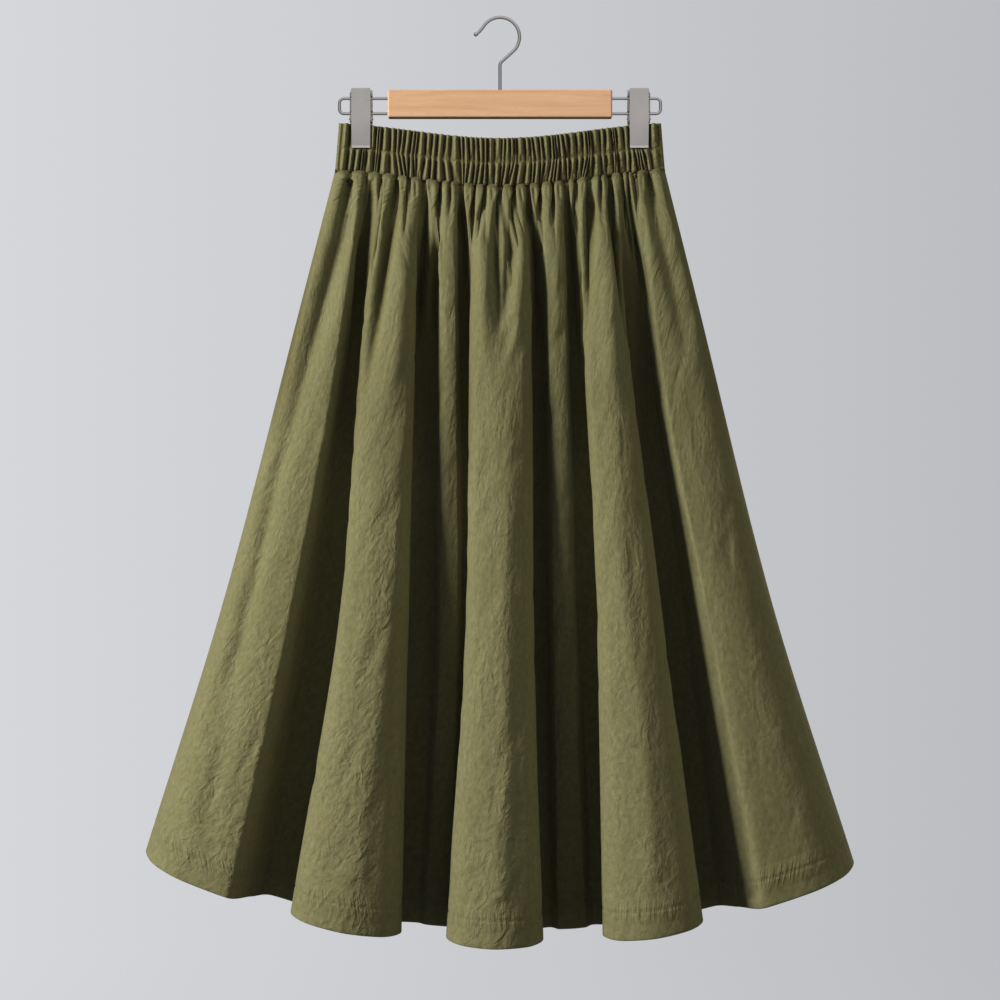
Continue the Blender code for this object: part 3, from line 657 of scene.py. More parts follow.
def cloth_piece(name, points, faces, cloth_places, painted_shades):
    """A closed cloth wall, with each point's place on the flat cloth and how much painted shade it has.
    """
    mesh = bpy.data.meshes.new(name)
    mesh.from_pydata(np.asarray(points).tolist(), [], faces)
    shape = bmesh.new()
    shape.from_mesh(mesh)
    bmesh.ops.recalc_face_normals(shape, faces=shape.faces)
    shape.to_mesh(mesh)
    shape.free()
    corners = np.zeros(len(mesh.loops), int)
    mesh.loops.foreach_get("vertex_index", corners)
    layer = mesh.uv_layers.new(name=CLOTH_MAP)
    layer.data.foreach_set("uv", np.asarray(cloth_places, float)[corners].ravel())
    # How much painted shade darkens each point's colour
    painted_shade_layer = mesh.attributes.new(PAINTED_SHADE_MAP, "FLOAT", "POINT")
    painted_shade_layer.data.foreach_set("value", np.asarray(painted_shades, float).ravel())
    mesh.materials.append(cotton.material)
    mesh.shade_smooth()
    mesh.set_sharp_from_angle(angle=math.radians(CLOTH_CORNER))
    return put(name, mesh)


def quads(first_row, second_row, closed=False):
    """Faces between two rows of point numbers."""
    a = np.asarray(first_row)
    b = np.asarray(second_row)
    if closed:
        a = np.append(a, a[0])
        b = np.append(b, b[0])
    return np.stack([a[:-1], a[1:], b[1:], b[:-1]], axis=-1).tolist()


def gather_bounds(widths):
    """Where gathers of these widths meet, from -1 to 1."""
    run = np.concatenate([[0], np.cumsum(widths)])
    return 2 * run / run[-1] - 1


def band_side(seed, side):
    """Rows of one side of the waistband, one for each drop: across, relief, height, painted shade."""
    chance = np.random.default_rng(seed)
    count = BAND_GATHERS
    upper = 1 + BAND_UNEVEN * chance.uniform(-1, 1, count)
    upper[[0, 1, -2, -1]] = BAND_END_WIDTHS
    middle = upper * (1 + BAND_DRIFTS * chance.uniform(-1, 1, count))
    bounds = [gather_bounds(widths) for widths in (upper, middle)]
    by_chance, in_waves = BAND_WANDER
    shift = chance.uniform(-by_chance, by_chance, count + 1)
    shift += in_waves * np.sin(0.8 * np.arange(count + 1) + seed)
    shift *= fade(1 - np.abs(bounds[1]), 0, BAND_STEADY)
    lower = np.diff(bounds[1] + shift * 2 / count)
    bounds.append(gather_bounds(np.maximum(lower, BAND_LEAST / count)))
    tall = chance.uniform(*BAND_TALL, (2, count))
    forked = chance.uniform(*BAND_FORK_DEEP, (2, count))
    forked *= chance.uniform(0, 1, (2, count)) < BAND_FORKED
    numbers = np.linspace(0, count, count * BAND_COLUMNS + 1)
    gather = np.minimum(numbers.astype(int), count - 1)
    off = numbers - gather - 0.5
    crest = 1 - np.abs(2 * off) ** BAND_SHARPNESS * (1 + BAND_VALLEY)
    fork = np.exp(-((off / BAND_FORK_HALF) ** 2))
    beside_clip = [CLIP_WIDTH / 2 + reach for reach in BAND_BESIDE]
    rows = []
    for drop in band_drops:
        if drop < BAND_STITCHED:
            share = drop / BAND_STITCHED
            places = bounds[0] * (1 - share) + bounds[1] * share
        else:
            share = (drop - BAND_STITCHED) / (BAND_HEIGHT - BAND_STITCHED)
            places = bounds[1] * (1 - share) + bounds[2] * share
        channel = fade(drop, BAND_STITCHED - BAND_CHANGE, BAND_STITCHED + BAND_CHANGE)
        height = tall[0] * (1 - channel) + tall[1] * channel
        split = forked[0] * fade(drop, *BAND_FORK_DROPS[0]) * (1 - channel)
        split = split + forked[1] * fade(drop, *BAND_FORK_DROPS[1]) * channel
        proud = glide(*np.array(BAND_RELIEF).T * MM, drop)
        relief = proud * height[gather] * (crest - split[gather] * fork)
        half = BAND_HALF_TOP + (BAND_HALF_FOOT - BAND_HALF_TOP) * drop / BAND_HEIGHT
        x = np.interp(numbers, np.arange(count + 1), places) * (half - BAND_SLOT - BAND_WALL)
        sunk = BAND_SUNK * (1 - crest) * fade(drop, BAND_SUNK_BY, 0)
        z = BAND_TOP - band_dip(x) - drop - sunk
        beside = fade(np.abs(np.abs(x) - CLIP_X), *beside_clip)
        under = fade(CLIP_FOOT - z, *BAND_UNDER)
        relief = np.minimum(relief, BAND_PRESSED + BAND_SPRINGS * np.maximum(beside, under))
        relief *= fade(np.minimum(numbers, count - numbers), 0, BAND_CALM)
        # Painted shade: between the gathers, where they stand proud, and along the stitched groove
        between = np.clip((1 - crest + split[gather] * fork) / (1 + BAND_VALLEY), 0, 1)
        dark = BAND_PAINTED_SHADE * between ** BAND_LIGHTENS * np.clip(relief.max() / BAND_PAINTED_SHADE_AT, 0, 1)
        dark += SEWN_PAINTED_SHADE * np.exp(-(((drop - BAND_STITCHED) / SEWN_HALF) ** 2))
        rows.append((side * x, relief, z, dark))
    return rows


band_drops = BAND_FOLD * (1 - np.cos(np.radians(BAND_FOLD_TURNS)))
for end, steps in BAND_STEPS:
    band_drops = np.append(band_drops, np.linspace(band_drops[-1], end, steps + 1)[1:])
front_side = band_side(11, 1)
back_side = band_side(23, -1)
end_turns = np.radians(np.linspace(-90, 90, BAND_END_STEPS + 1)[1:-1])
band_points = []
band_places = []
band_painted_shades = []
for drop, front_row, back_row in zip(band_drops, front_side, back_side):
    fx, front_relief, fz, front_painted_shade = front_row
    bx, back_relief, bz, back_painted_shade = back_row
    fold = BAND_FOLD * (1 - math.sqrt(max(0, 1 - max(0, 1 - drop / BAND_FOLD) ** 2)))
    tuck = BAND_TUCK * fade(drop, BAND_HEIGHT - BAND_TUCK_REACH, BAND_HEIGHT)
    wall = BAND_WALL - fold - tuck
    front = np.stack([fx, -(band_space(fx) + wall + front_relief), fz], axis=-1)
    behind = np.stack([bx, band_space(bx) + wall + back_relief, bz], axis=-1)
    round_end = BAND_SLOT + wall
    right = [(fx[-1] + round_end * math.cos(a), round_end * math.sin(a), fz[-1]) for a in end_turns]
    left = [(fx[0] - round_end * math.cos(a), -round_end * math.sin(a), fz[0]) for a in end_turns]
    ring = np.concatenate([front, right, behind, left])
    band_points.append(ring)
    run = np.linspace(0, BAND_CLOTH, len(ring))
    band_places.append(np.stack([run, np.full(len(ring), -drop)], axis=-1))
    # Painted shade of the front and back, and none round the ends
    ends = np.zeros(len(end_turns))
    band_painted_shades.append(np.concatenate([front_painted_shade, ends, back_painted_shade, ends]))
ring_size = len(band_points[0])
for drop in BAND_INNER_DROPS:
    ring = band_points[np.searchsorted(band_drops, drop).clip(0, len(band_drops) - 1)].copy()
    x_end = np.abs(ring[:, 0]) - fx[-1]
    arc_end = np.sqrt(np.clip(BAND_SLOT ** 2 - np.clip(x_end, 0, BAND_SLOT) ** 2, 0, None))
    space = np.where(x_end > 0, arc_end, band_space(ring[:, 0]))
    space += BAND_EASE * (drop < BAND_FOLD)
    ring[:, 1] = np.sign(ring[:, 1]) * space
    ring[:, 0] = np.clip(ring[:, 0], -fx[-1] - BAND_SLOT, fx[-1] + BAND_SLOT)
    ring[:, 2] = BAND_TOP - band_dip(ring[:, 0]) - drop
    band_points.append(ring)
    band_places.append(np.stack([run, np.full(ring_size, drop)], axis=-1))
    # Painted shade all over the inside wall of the waistband
    band_painted_shades.append(np.full(ring_size, PAINTED_SHADE_INSIDE))
ring_numbers = [np.arange(ring_size) + i * ring_size for i in range(len(band_points))]
outer_rings = ring_numbers[:len(band_drops)]
inner_rings = ring_numbers[len(band_drops):]
ring_order = outer_rings + inner_rings[::-1]
band_faces = []
for this_ring, next_ring in zip(ring_order, ring_order[1:] + ring_order[:1]):
    band_faces += quads(this_ring, next_ring, closed=True)
waistband = cloth_piece(
    "waistband_cloth", np.concatenate(band_points), band_faces, np.concatenate(band_places),
    np.concatenate(band_painted_shades),
)
belongs(waistband, "cloth", "waistband")

# The front and back panels: each is cut flared, drawn up along its top edge into the seam under
# the waistband, sewn to the other at the sides, and turned up 25 mm inside at its hem.
# The cotton falls from the gathers into a few deep flutes.
CLOTH = 1.3 * MM
HEM_CLOTH = 2.3 * MM              # at the hem, where it lies double
HEM_TURN = 25 * MM
HEM_STEP = 2 * MM                 # how soon it thickens there
UPPER_Z = -281 * MM               # heights at which the folds' sizes are given,
MIDDLE_Z = -581 * MM              # besides the hem
HEM_Z = -904 * MM
HEM_RISE = 69 * MM                # how far the hem rises to the sides
HEM_TILT = 6 * MM
HEM_HALF = 353 * MM
FRONT_FLOOR = 18 * MM             # depth of the valleys' floors at the hem, from the middle plane
BACK_FLOOR = 22 * MM
SEAM_STAND = 3.0 * MM             # how proud the cloth stands of the waistband's inside at the seam
SEAM_TUCK = 2.6 * MM              # how far the panels' top edge goes in at the seam,
SEAM_TUCK_REACH = 3.6 * MM        # and how far below the seam that starts
SEAM_ALLOWANCE = (1.2 * MM, 1.9 * MM)   # how far its raw edge goes in and up behind the waistband
SIDES_MEET = 0.02 * MM            # how far past the middle plane its side edges reach inside
PUFF = 4.0 * MM                   # how far the cloth springs out below the seam,
PUFF_REACH = 20 * MM              # and how soon

# Gathers at the waist seam, in millimetres: place, how proud, how far it runs down,
# and from 0 to 1 how deep a pit parts it in two where it leaves the seam
Gather = namedtuple("Gather", "x proud run pit")
FRONT_GATHERS = (
    Gather(-157, 3.8, 170, 0.2), Gather(-140, 4.4, 190, 0.4), Gather(-125, 3.4, 70, 0.4),
    Gather(-111, 5.0, 150, 0.8), Gather(-95, 4.6, 80, 0.6), Gather(-84, 3.8, 80, 0.8),
    Gather(-69, 4.2, 140, 1.0), Gather(-50, 5.0, 170, 0.9), Gather(-31, 4.6, 120, 0.9),
    Gather(-19, 4.0, 130, 0.3), Gather(-8, 3.8, 140, 0.8), Gather(6, 4.6, 130, 0.5),
    Gather(20, 4.4, 120, 0.9), Gather(33, 3.8, 90, 0.9), Gather(46, 4.4, 130, 0.5),
    Gather(58, 4.2, 110, 0.9), Gather(70, 4.0, 100, 0.1), Gather(83, 4.8, 150, 0.9),
    Gather(99, 5.0, 120, 0.9), Gather(116, 4.4, 100, 0.2), Gather(126, 3.2, 90, 0.1),
    Gather(141, 4.6, 100, 0.8), Gather(157, 3.8, 140, 0.2),
)
GATHERS = len(FRONT_GATHERS)
GATHER_PINCH = 0.80               # part of their height that the gathers have right at the seam
GATHER_OPENS = 9 * MM             # and how far below it they have it all
GATHER_ROUND = 2.2                # crest to valley, as a part of the height of the crest
GATHER_SUNK = 1.1                 # how far of that lies below the plain cloth
GATHER_STEEP = 0.985              # how upright a gather's sides are at the valleys, up to 1
GATHER_KEPT = 0.28                # part of its run after which a gather is down to a third
GATHER_FADE = 1.5
PIT = 2.2 * MM                    # depth of a pit
PIT_HALF = 0.15                   # its half width, in gathers
PIT_DEEPENS = (0.5 * MM, 6 * MM)  # drops below the seam
PIT_ENDS = (26 * MM, 8 * MM)      # drop at which it has ended, and at which it starts to
LEAST_TURN = 0.75                 # least cosine at a corner, so that the wall doesn't grow thick
EVEN_BY = 0.16                    # part of the skirt's length after which they lie evenly
SIDE_CALM = 0.25                  # gathers in which they fade towards a side seam,
SIDE_PLAIN = 0.12                 # and the same for the valleys and crinkles

# Folds, in millimetres. Each triple is the size at the upper height, the middle height, the hem.
Side = namedtuple("Side", "edge_gather crest_gather foot_gather edge crest foot rise")
Flute = namedtuple("Flute", "first last left right rise tuck")
Ridge = namedtuple("Ridge", "first gather last x half rise")
FRONT_FOLDS = (
    Side(0, 1.3, 2.4, (-198, -276, -353), (-155, -204, -264), (-141, -181, -226), (14, 43, 65)),
    Flute(2.7, 6.0, (-133, -156, -202), (-82, -89, -95), (23, 62, 94), 8),
    Ridge(6.5, 7.3, 7.9, (-51, -50, -63), (12, 15, 19), (13, 18, 6)),
    Flute(8.1, 12.9, (-30, -34, -52), (31, 33, 42), (23, 62, 97), 8),
    Ridge(13.4, 14.9, 16.1, (56, 62, 71), (13, 16, 22), (13, 25, 12)),
    Flute(16.6, 20.1, (81, 94, 99), (123, 157, 196), (23, 62, 94), 8),
    Side(23, 21.9, 20.8, (197, 271, 353), (154, 201, 258), (141, 180, 214), (12, 41, 60)),
)
BACK_FOLDS = (
    Side(0, 1.2, 2.3, (-198, -276, -353), (-167, -226, -288), (-141, -190, -238), (8, 30, 46)),
    Flute(3.1, 5.6, (-130, -172, -222), (-90, -110, -140), (15, 40, 58), 6),
    Ridge(6.2, 6.8, 7.4, (-70, -86, -106), (8, 11, 16), (7, 16, 18)),
    Flute(7.9, 11.6, (-52, -60, -72), (2, 6, 8), (16, 44, 66), 6),
    Flute(12.4, 14.7, (14, 24, 34), (50, 72, 96), (12, 34, 50), 5),
    Flute(16.3, 19.5, (74, 96, 126), (124, 166, 212), (16, 42, 60), 6),
    Side(23, 21.9, 20.6, (197, 271, 353), (166, 224, 284), (140, 186, 230), (9, 32, 48)),
)

# Section of a flute: heights as parts of its rise, and where they stand along or across it
NECK_HEIGHT = 0.12
EDGE_HEIGHT = 0.55
EDGE_ALONG = 0.19
SHOULDER_HEIGHT = 0.87
SHOULDER_IN = 0.14

# Section of a half flute along a side seam: how far along the cloth and how far across, from the
# edge to the crest, then how high and how deeply seated; and of its slope, from crest to foot
SIDE_SHOULDERS = ((0.34, 0.13, 0.48, 0.8), (0.68, 0.48, 0.86, 1))
SIDE_SLOPE = (0.55, 0.58, 0.42)

# Section of a ridge: how far along the cloth and across its shoulders stand, and how high
RIDGE_ALONG = 0.45
RIDGE_ACROSS = 0.6
RIDGE_HEIGHT = 0.88

# Valleys between the gathers, as they run down the front, in millimetres. For each of the drops
# below the origin there is a place across and a depth. The sides reach so far to left and right.
Valley = namedtuple("Valley", "x drop deep left right")
FRONT_VALLEYS = (
    Valley((-130, -132, -138, -141, -146), (160, 195, 241, 281, 345), (5, 7, 10, 10, 0), 9, 10),
    Valley((-118, -121, -125, -128), (160, 190, 220, 252), (5, 6, 5, 0), 5, 4),
    Valley((-103, -107, -115, -121, -129, -134), (160, 195, 241, 281, 331, 380),
           (5, 8, 10, 9, 5, 0), 10, 11),
    Valley((-91, -93, -97), (158, 185, 225), (5, 4, 0), 5, 5),
    Valley((-76, -75, -77, -81, -84), (160, 200, 237, 290, 340), (6, 9, 11, 7, 0), 8, 7),
    Valley((-59, -61, -63.5, -63.5, -62), (160, 195, 241, 281, 345), (5, 7, 9, 8, 0), 7, 5),
    Valley((-50, -50, -51), (158, 178, 205), (5, 4, 0), 5, 5),
    Valley((-38, -38, -36, -36, -37), (160, 190, 240, 300, 360), (6, 8, 11, 8, 0), 7, 6),
    Valley((-24, -26.5, -29.5), (160, 187, 232), (6, 6, 0), 5, 4),
    Valley((-14, -16, -21, -25), (160, 184, 202, 228), (6, 6, 5, 0), 6, 6),
    Valley((2, -2, -5, -4, 0), (162, 187, 237, 270, 325), (5, 7, 7, 5, 0), 7, 8),
    Valley((14, 14, 11.5, 8, 4), (162, 194, 240, 268, 310), (5, 7, 7, 5, 0), 8, 8),
    Valley((27.5, 29, 36, 38, 39), (160, 190, 240, 300, 360), (5, 7, 11, 7, 0), 6, 7),
    Valley((40.5, 40.5, 40.5), (160, 195, 245), (7, 8, 0), 6, 4),
    Valley((53, 53, 53), (156, 180, 212), (5, 4, 0), 5, 5),
    Valley((66.5, 67.5, 72, 74, 77), (160, 190, 240, 300, 360), (5, 7, 12, 9, 0), 7, 7),
    Valley((75.5, 75.5, 76), (160, 190, 235), (6, 7, 0), 5, 4),
    Valley((88, 89.5, 86.5, 85, 87), (160, 190, 241, 276, 325), (5, 8, 9, 6, 0), 8, 12),
    Valley((100.5, 101, 103), (156, 175, 208), (5, 4, 0), 5, 5),
    Valley((109.5, 111.5, 118, 123, 130), (156, 187, 240, 290, 335), (5, 7, 11, 5, 0), 7, 8),
    Valley((122, 124.5, 128, 134), (156, 187, 208, 250), (5, 6, 6, 0), 4, 4),
    Valley((128, 130, 135, 140, 148), (154, 180, 215, 250, 290), (5, 7, 9, 7, 0), 4, 4),
    Valley((135.5, 136.5, 139), (150, 168, 198), (5, 4, 0), 5, 5),
)

# Soft waves down the flutes, in the same way; a depth below 0 makes a ridge
FRONT_WAVES = (
    Valley((-150, -156, -167, -178, -191, -206, -218, -242, -266, -284, -300),
           (160, 205, 241, 281, 331, 390, 431, 531, 631, 690, 745),
           (4, 7, 10, 11, 9, 6, 6, 8, 7, 4, 0), 10, 12),
    Valley((-250, -262, -280, -296), (600, 660, 731, 810), (0, 2, 4, 3), 11, 11),
    Valley((178, 188, 206, 222, 238, 250), (470, 520, 600, 700, 800, 880), (0, 3, 4, 4, 4, 3), 5, 13),
    Valley((147, 153, 168, 177, 190), (154, 180, 241, 281, 345), (4, 6, 6, 5, 0), 8, 17),
    Valley((-96, -97, -99, -104, -112), (200, 241, 281, 331, 400), (0, -4, -5, -5, 0), 10, 10),
    Valley((105, 108, 110, 112, 117), (200, 241, 281, 331, 400), (0, -4, -5, -5, 0), 11, 10),
    Valley((-19, -17, -16, -18), (200, 241, 281, 340), (0, -4, -4.5, 0), 8, 7),
    Valley((24, 22.5, 19, 15), (200, 241, 281, 340), (0, -3.5, -3.5, 0), 7, 7),
    Valley((4, 3, 1, 0), (172, 241, 281, 335), (0, 4, 4, 0), 9, 10),
    Valley((-100, -106, -114, -126, -142), (400, 531, 631, 731, 860), (-1, -1.8, -1.8, -1.8, -1.8), 9, 8),
    Valley((19, 9, -1), (290, 318, 352), (0, 3, 0), 4, 3),
    Valley((-232, -250, -268), (700, 735, 770), (0, 1.3, 0), 5, 4),
    Valley((-236, -262, -283), (745, 785, 816), (0, 1.3, 0), 5, 4),
    Valley((-262, -282, -300), (770, 800, 828), (0, 1.3, 0), 5, 4),
    Valley((-138, -150, -166), (700, 742, 780), (0, 2.0, 0), 5, 5),
    Valley((-112, -130, -141), (600, 640, 668), (0, 1.8, 0), 6, 5),
    Valley((-118, -132, -150), (760, 800, 830), (0, 1.8, 0), 5, 5),
    Valley((-10, -26, -34), (600, 650, 690), (0, 1.8, 0), 6, 5),
    Valley((14, -2, -10), (700, 760, 800), (0, 1.8, 0), 6, 5),
    Valley((11, 8, 7, 7, 2), (400, 531, 631, 731, 880), (-1, -1.8, -1.8, -1.8, -1.8), 9, 8),
    Valley((114, 121, 133, 146, 154), (400, 531, 631, 731, 860), (-1, -1.5, -1.5, -1.5, -1.5), 9, 8),
)
VIEW_FROM = 2.0                   # these places are as seen from so far in front of the middle plane
VIEW_Z = -0.481
VIEW_TRIES = 3                    # a place's height depends on its depth, so it is found in steps

# Valleys between the gathers behind, each as chance has it within these ranges, in millimetres
BACK_DEEP = (7, 11)
BACK_ENDS = (60, 190)             # drop below the seam,
BACK_FADES = 0.25                 # and the part of it from which they fade
BACK_REACH = (5, 8)

SEAM_DEPTH = 0.72                 # part of their depth that the valleys have right at the waist seam,
SEAM_DEPTH_BY = 12 * MM           # and how far below it they have it all
SEAM_WIDTH = 0.46                 # the same for their width
SEAM_WIDTH_BY = 34 * MM
SEAM_ROUND = 0.10                 # how much wider they are at the seam, between the folds' round tops
SEAM_ROUND_BY = 4.5 * MM
SHARP_ROUND = 0.015               # rounding of a sharp floor, and what makes up for it in depth
SHARP_GAIN = 1.22
SHARP_SIDES = 1.5                 # how hollow its sides are
PAINTED_SHADE_DEPTH = 8 * MM             # depth of a valley in which the painted shade is darkest,
PAINTED_SHADE_SHALLOW = 0.4              # the part of it that is enough right at the waist seam,
PAINTED_SHADE_SHALLOW_BY = 30 * MM       # and the drop from which it takes all of it
PAINTED_FOLD_SHADE = 0.85               # how dark the painted shade is in a fold
PAINTED_SHADE_BELOW = 18 * MM            # that lies so far below the crests beside it,
PAINTED_SHADE_COLUMNS = 30               # which may be so many columns away,
PAINTED_SHADE_FROM = (10 * MM, 60 * MM)  # from no darker to all of that between these drops,
PAINTED_SHADE_TO = (330 * MM, 200 * MM)  # and back again between these
PAINTED_SHADE_LIGHTENS = 1.5             # how soon it lightens up the sides of both
PAINTED_SEAM_SHADE = 0.75                # how dark the painted shade is right at the waist seam,
PAINTED_SEAM_SHADE_REACH = 2.6 * MM      # and about how far below
DIMPLE_ENDS = 2.2                 # where a dimple ends, in half lengths
DIMPLE_SIDES = 0.3                # gathers beside a side seam that have none
PUCKER_STEP = 0.17                # between the puckers of the hem, in gathers
PUCKER_DRIFT = 0.05               # how far they may lie off to either side, in gathers,
PUCKER_RISE = 3                   # and up or down, in millimetres
PUCKER_HEIGHTS = (-1.3, -0.35)    # in millimetres
PUCKER = (2.6 * MM, 9 * MM, 0)    # their half width, half length and lean
STITCHED_IN = 0.5 * MM            # how far the hem's stitching draws the cloth in,
STITCHED_HALF = 1.6 * MM          # and over what height above and below it

# Columns for each gather, from each gather number on, and rows from each drop below the seam on
PANEL_COLUMNS = ((0, 36), (2.4, 17), (20.8, 36))
PANEL_STEPS = ((0, 24), (30, 24), (110, 99), (675, 10), (703, 12), (717, 8))
INNER_STEP = 12                   # the inner wall has every twelfth row,
HEM_INNER_STEP = 5                # and every fifth one
HEM_ROWS = 26                     # in so many rows above the hem
RIM_TURNS = (40, 90, 140)         # degrees round the hem's edge

Line = namedtuple("Line", "gather x rise seat")


def seam_z(x):
    """Top edge of the panels, just under the waistband."""
    return BAND_TOP - band_dip(x) - BAND_HEIGHT - GAP


def hem_z(x):
    """Height of the hem at x: an arc that rises to both sides."""
    across = x / HEM_HALF
    return HEM_Z + HEM_RISE * across ** 2 - HEM_TILT * across


def side_lines(fold):
    """Edge, two shoulders, crest, slope and foot of the half flute along a side seam."""
    edge = np.array(fold.edge, float)
    crest = np.array(fold.crest, float)
    foot = np.array(fold.foot, float)
    rise = np.array(fold.rise, float)
    turn = fold.crest_gather - fold.edge_gather
    slope = fold.foot_gather - fold.crest_gather
    lines = [Line(fold.edge_gather, edge, rise * 0, 0)]
    for along, across, height, seat in SIDE_SHOULDERS:
        x = edge + across * (crest - edge)
        lines.append(Line(fold.edge_gather + along * turn, x, height * rise, seat))
    lines.append(Line(fold.crest_gather, crest, rise, 1))
    along, across, height = SIDE_SLOPE
    x = crest + across * (foot - crest)
    lines.append(Line(fold.crest_gather + along * slope, x, height * rise, 1))
    lines.append(Line(fold.foot_gather, foot, rise * 0, 1))
    return sorted(lines, key=lambda line: line.gather)


def flute_lines(fold):
    """Necks, edges, shoulders and crest of a flute that is narrower at its neck than in front."""
    left = np.array(fold.left, float)
    right = np.array(fold.right, float)
    rise = np.array(fold.rise, float)
    tuck = fold.tuck * rise / rise[-1]
    width = right - left
    cloth = fold.last - fold.first
    shoulder = (EDGE_ALONG + 0.5) / 2
    return [
        Line(fold.first, left + tuck, NECK_HEIGHT * rise, 1),
        Line(fold.first + EDGE_ALONG * cloth, left, EDGE_HEIGHT * rise, 1),
        Line(fold.first + shoulder * cloth, left + SHOULDER_IN * width, SHOULDER_HEIGHT * rise, 1),
        Line((fold.first + fold.last) / 2, (left + right) / 2, rise, 1),
        Line(fold.last - shoulder * cloth, right - SHOULDER_IN * width, SHOULDER_HEIGHT * rise, 1),
        Line(fold.last - EDGE_ALONG * cloth, right, EDGE_HEIGHT * rise, 1),
        Line(fold.last, right - tuck, NECK_HEIGHT * rise, 1),
    ]


def ridge_lines(fold):
    """Feet, shoulders and crest of a soft ridge on a valley's floor."""
    x = np.array(fold.x, float)
    half = np.array(fold.half, float)
    rise = np.array(fold.rise, float)
    left = fold.first + RIDGE_ALONG * (fold.gather - fold.first)
    right = fold.last + RIDGE_ALONG * (fold.gather - fold.last)
    return [
        Line(fold.first, x - half, rise * 0, 1),
        Line(left, x - RIDGE_ACROSS * half, RIDGE_HEIGHT * rise, 1),
        Line(fold.gather, x, rise, 1),
        Line(right, x + RIDGE_ACROSS * half, RIDGE_HEIGHT * rise, 1),
        Line(fold.last, x + half, rise * 0, 1),
    ]


LINES_OF = {Side: side_lines, Flute: flute_lines, Ridge: ridge_lines}

panel_length = seam_z(0.0) - HEM_Z
panel_knots = [start * MM for start, _ in PANEL_STEPS] + [panel_length]
panel_drops = np.concatenate([
    np.linspace(panel_knots[i], panel_knots[i + 1], steps + 1)[:-1]
    for i, (_, steps) in enumerate(PANEL_STEPS)
] + [[panel_length]])
column_knots = [start for start, _ in PANEL_COLUMNS] + [GATHERS]
panel_numbers = np.concatenate([
    np.linspace(start, end, round((end - start) * count) + 1)[:-1]
    for (start, count), end in zip(PANEL_COLUMNS, column_knots[1:])
] + [[GATHERS]])
valley_depth = SEAM_DEPTH + (1 - SEAM_DEPTH) * fade(panel_drops, 0, SEAM_DEPTH_BY)
valley_width = SEAM_WIDTH + (1 - SEAM_WIDTH) * fade(panel_drops, 0, SEAM_WIDTH_BY)
valley_width += SEAM_ROUND * fade(panel_drops, SEAM_ROUND_BY, 0)
crest_numbers = np.concatenate([[0], np.arange(GATHERS) + 0.5, [GATHERS]])


def seam_x(gathers, at):
    """Place on the waist seam of a gather number."""
    crests = [-BAND_HALF_FOOT] + [g.x * MM for g in gathers] + [BAND_HALF_FOOT]
    return glide(crest_numbers, crests, at)


def gather_relief(gathers, at, below):
    """How far the gathers lift the cloth at a distance below the seam: round crests, sharp valleys."""
    proud = np.interp(at, crest_numbers, [0] + [g.proud * MM for g in gathers] + [0])
    run = np.interp(at, crest_numbers, [g.run * MM for g in (gathers[0], *gathers, gathers[-1])])
    off = at - np.floor(at) - 0.5
    pits = np.array([g.pit for g in (*gathers, gathers[-1])])[at.astype(int)]
    height = GATHER_PINCH + (1 - GATHER_PINCH) * fade(below, 0, GATHER_OPENS)
    crest = GATHER_ROUND * np.sqrt(1 - GATHER_STEEP * (2 * off) ** 2) - GATHER_SUNK
    pit = PIT * pits * np.exp(-((off / PIT_HALF) ** 2))
    pit *= fade(below, *PIT_DEEPENS) * fade(below, *PIT_ENDS)
    kept = np.exp(-((below / (GATHER_KEPT * run)) ** GATHER_FADE))
    return proud * crest * height * kept - pit


def plan_normals(x, y):
    """Outward directions in plan along a row of points, longer at corners so that walls stay even."""
    along = np.stack([np.diff(x), np.diff(y)], axis=-1)
    along /= np.linalg.norm(along, axis=-1, keepdims=True)
    across = np.stack([along[:, 1], -along[:, 0]], axis=-1)
    before = np.vstack([across[:1], across])
    after = np.vstack([across, across[-1:]])
    mean = before + after
    mean /= np.linalg.norm(mean, axis=-1, keepdims=True)
    stretch = 1 / np.maximum(np.sum(mean * before, axis=-1), LEAST_TURN)
    return mean * stretch[:, None]


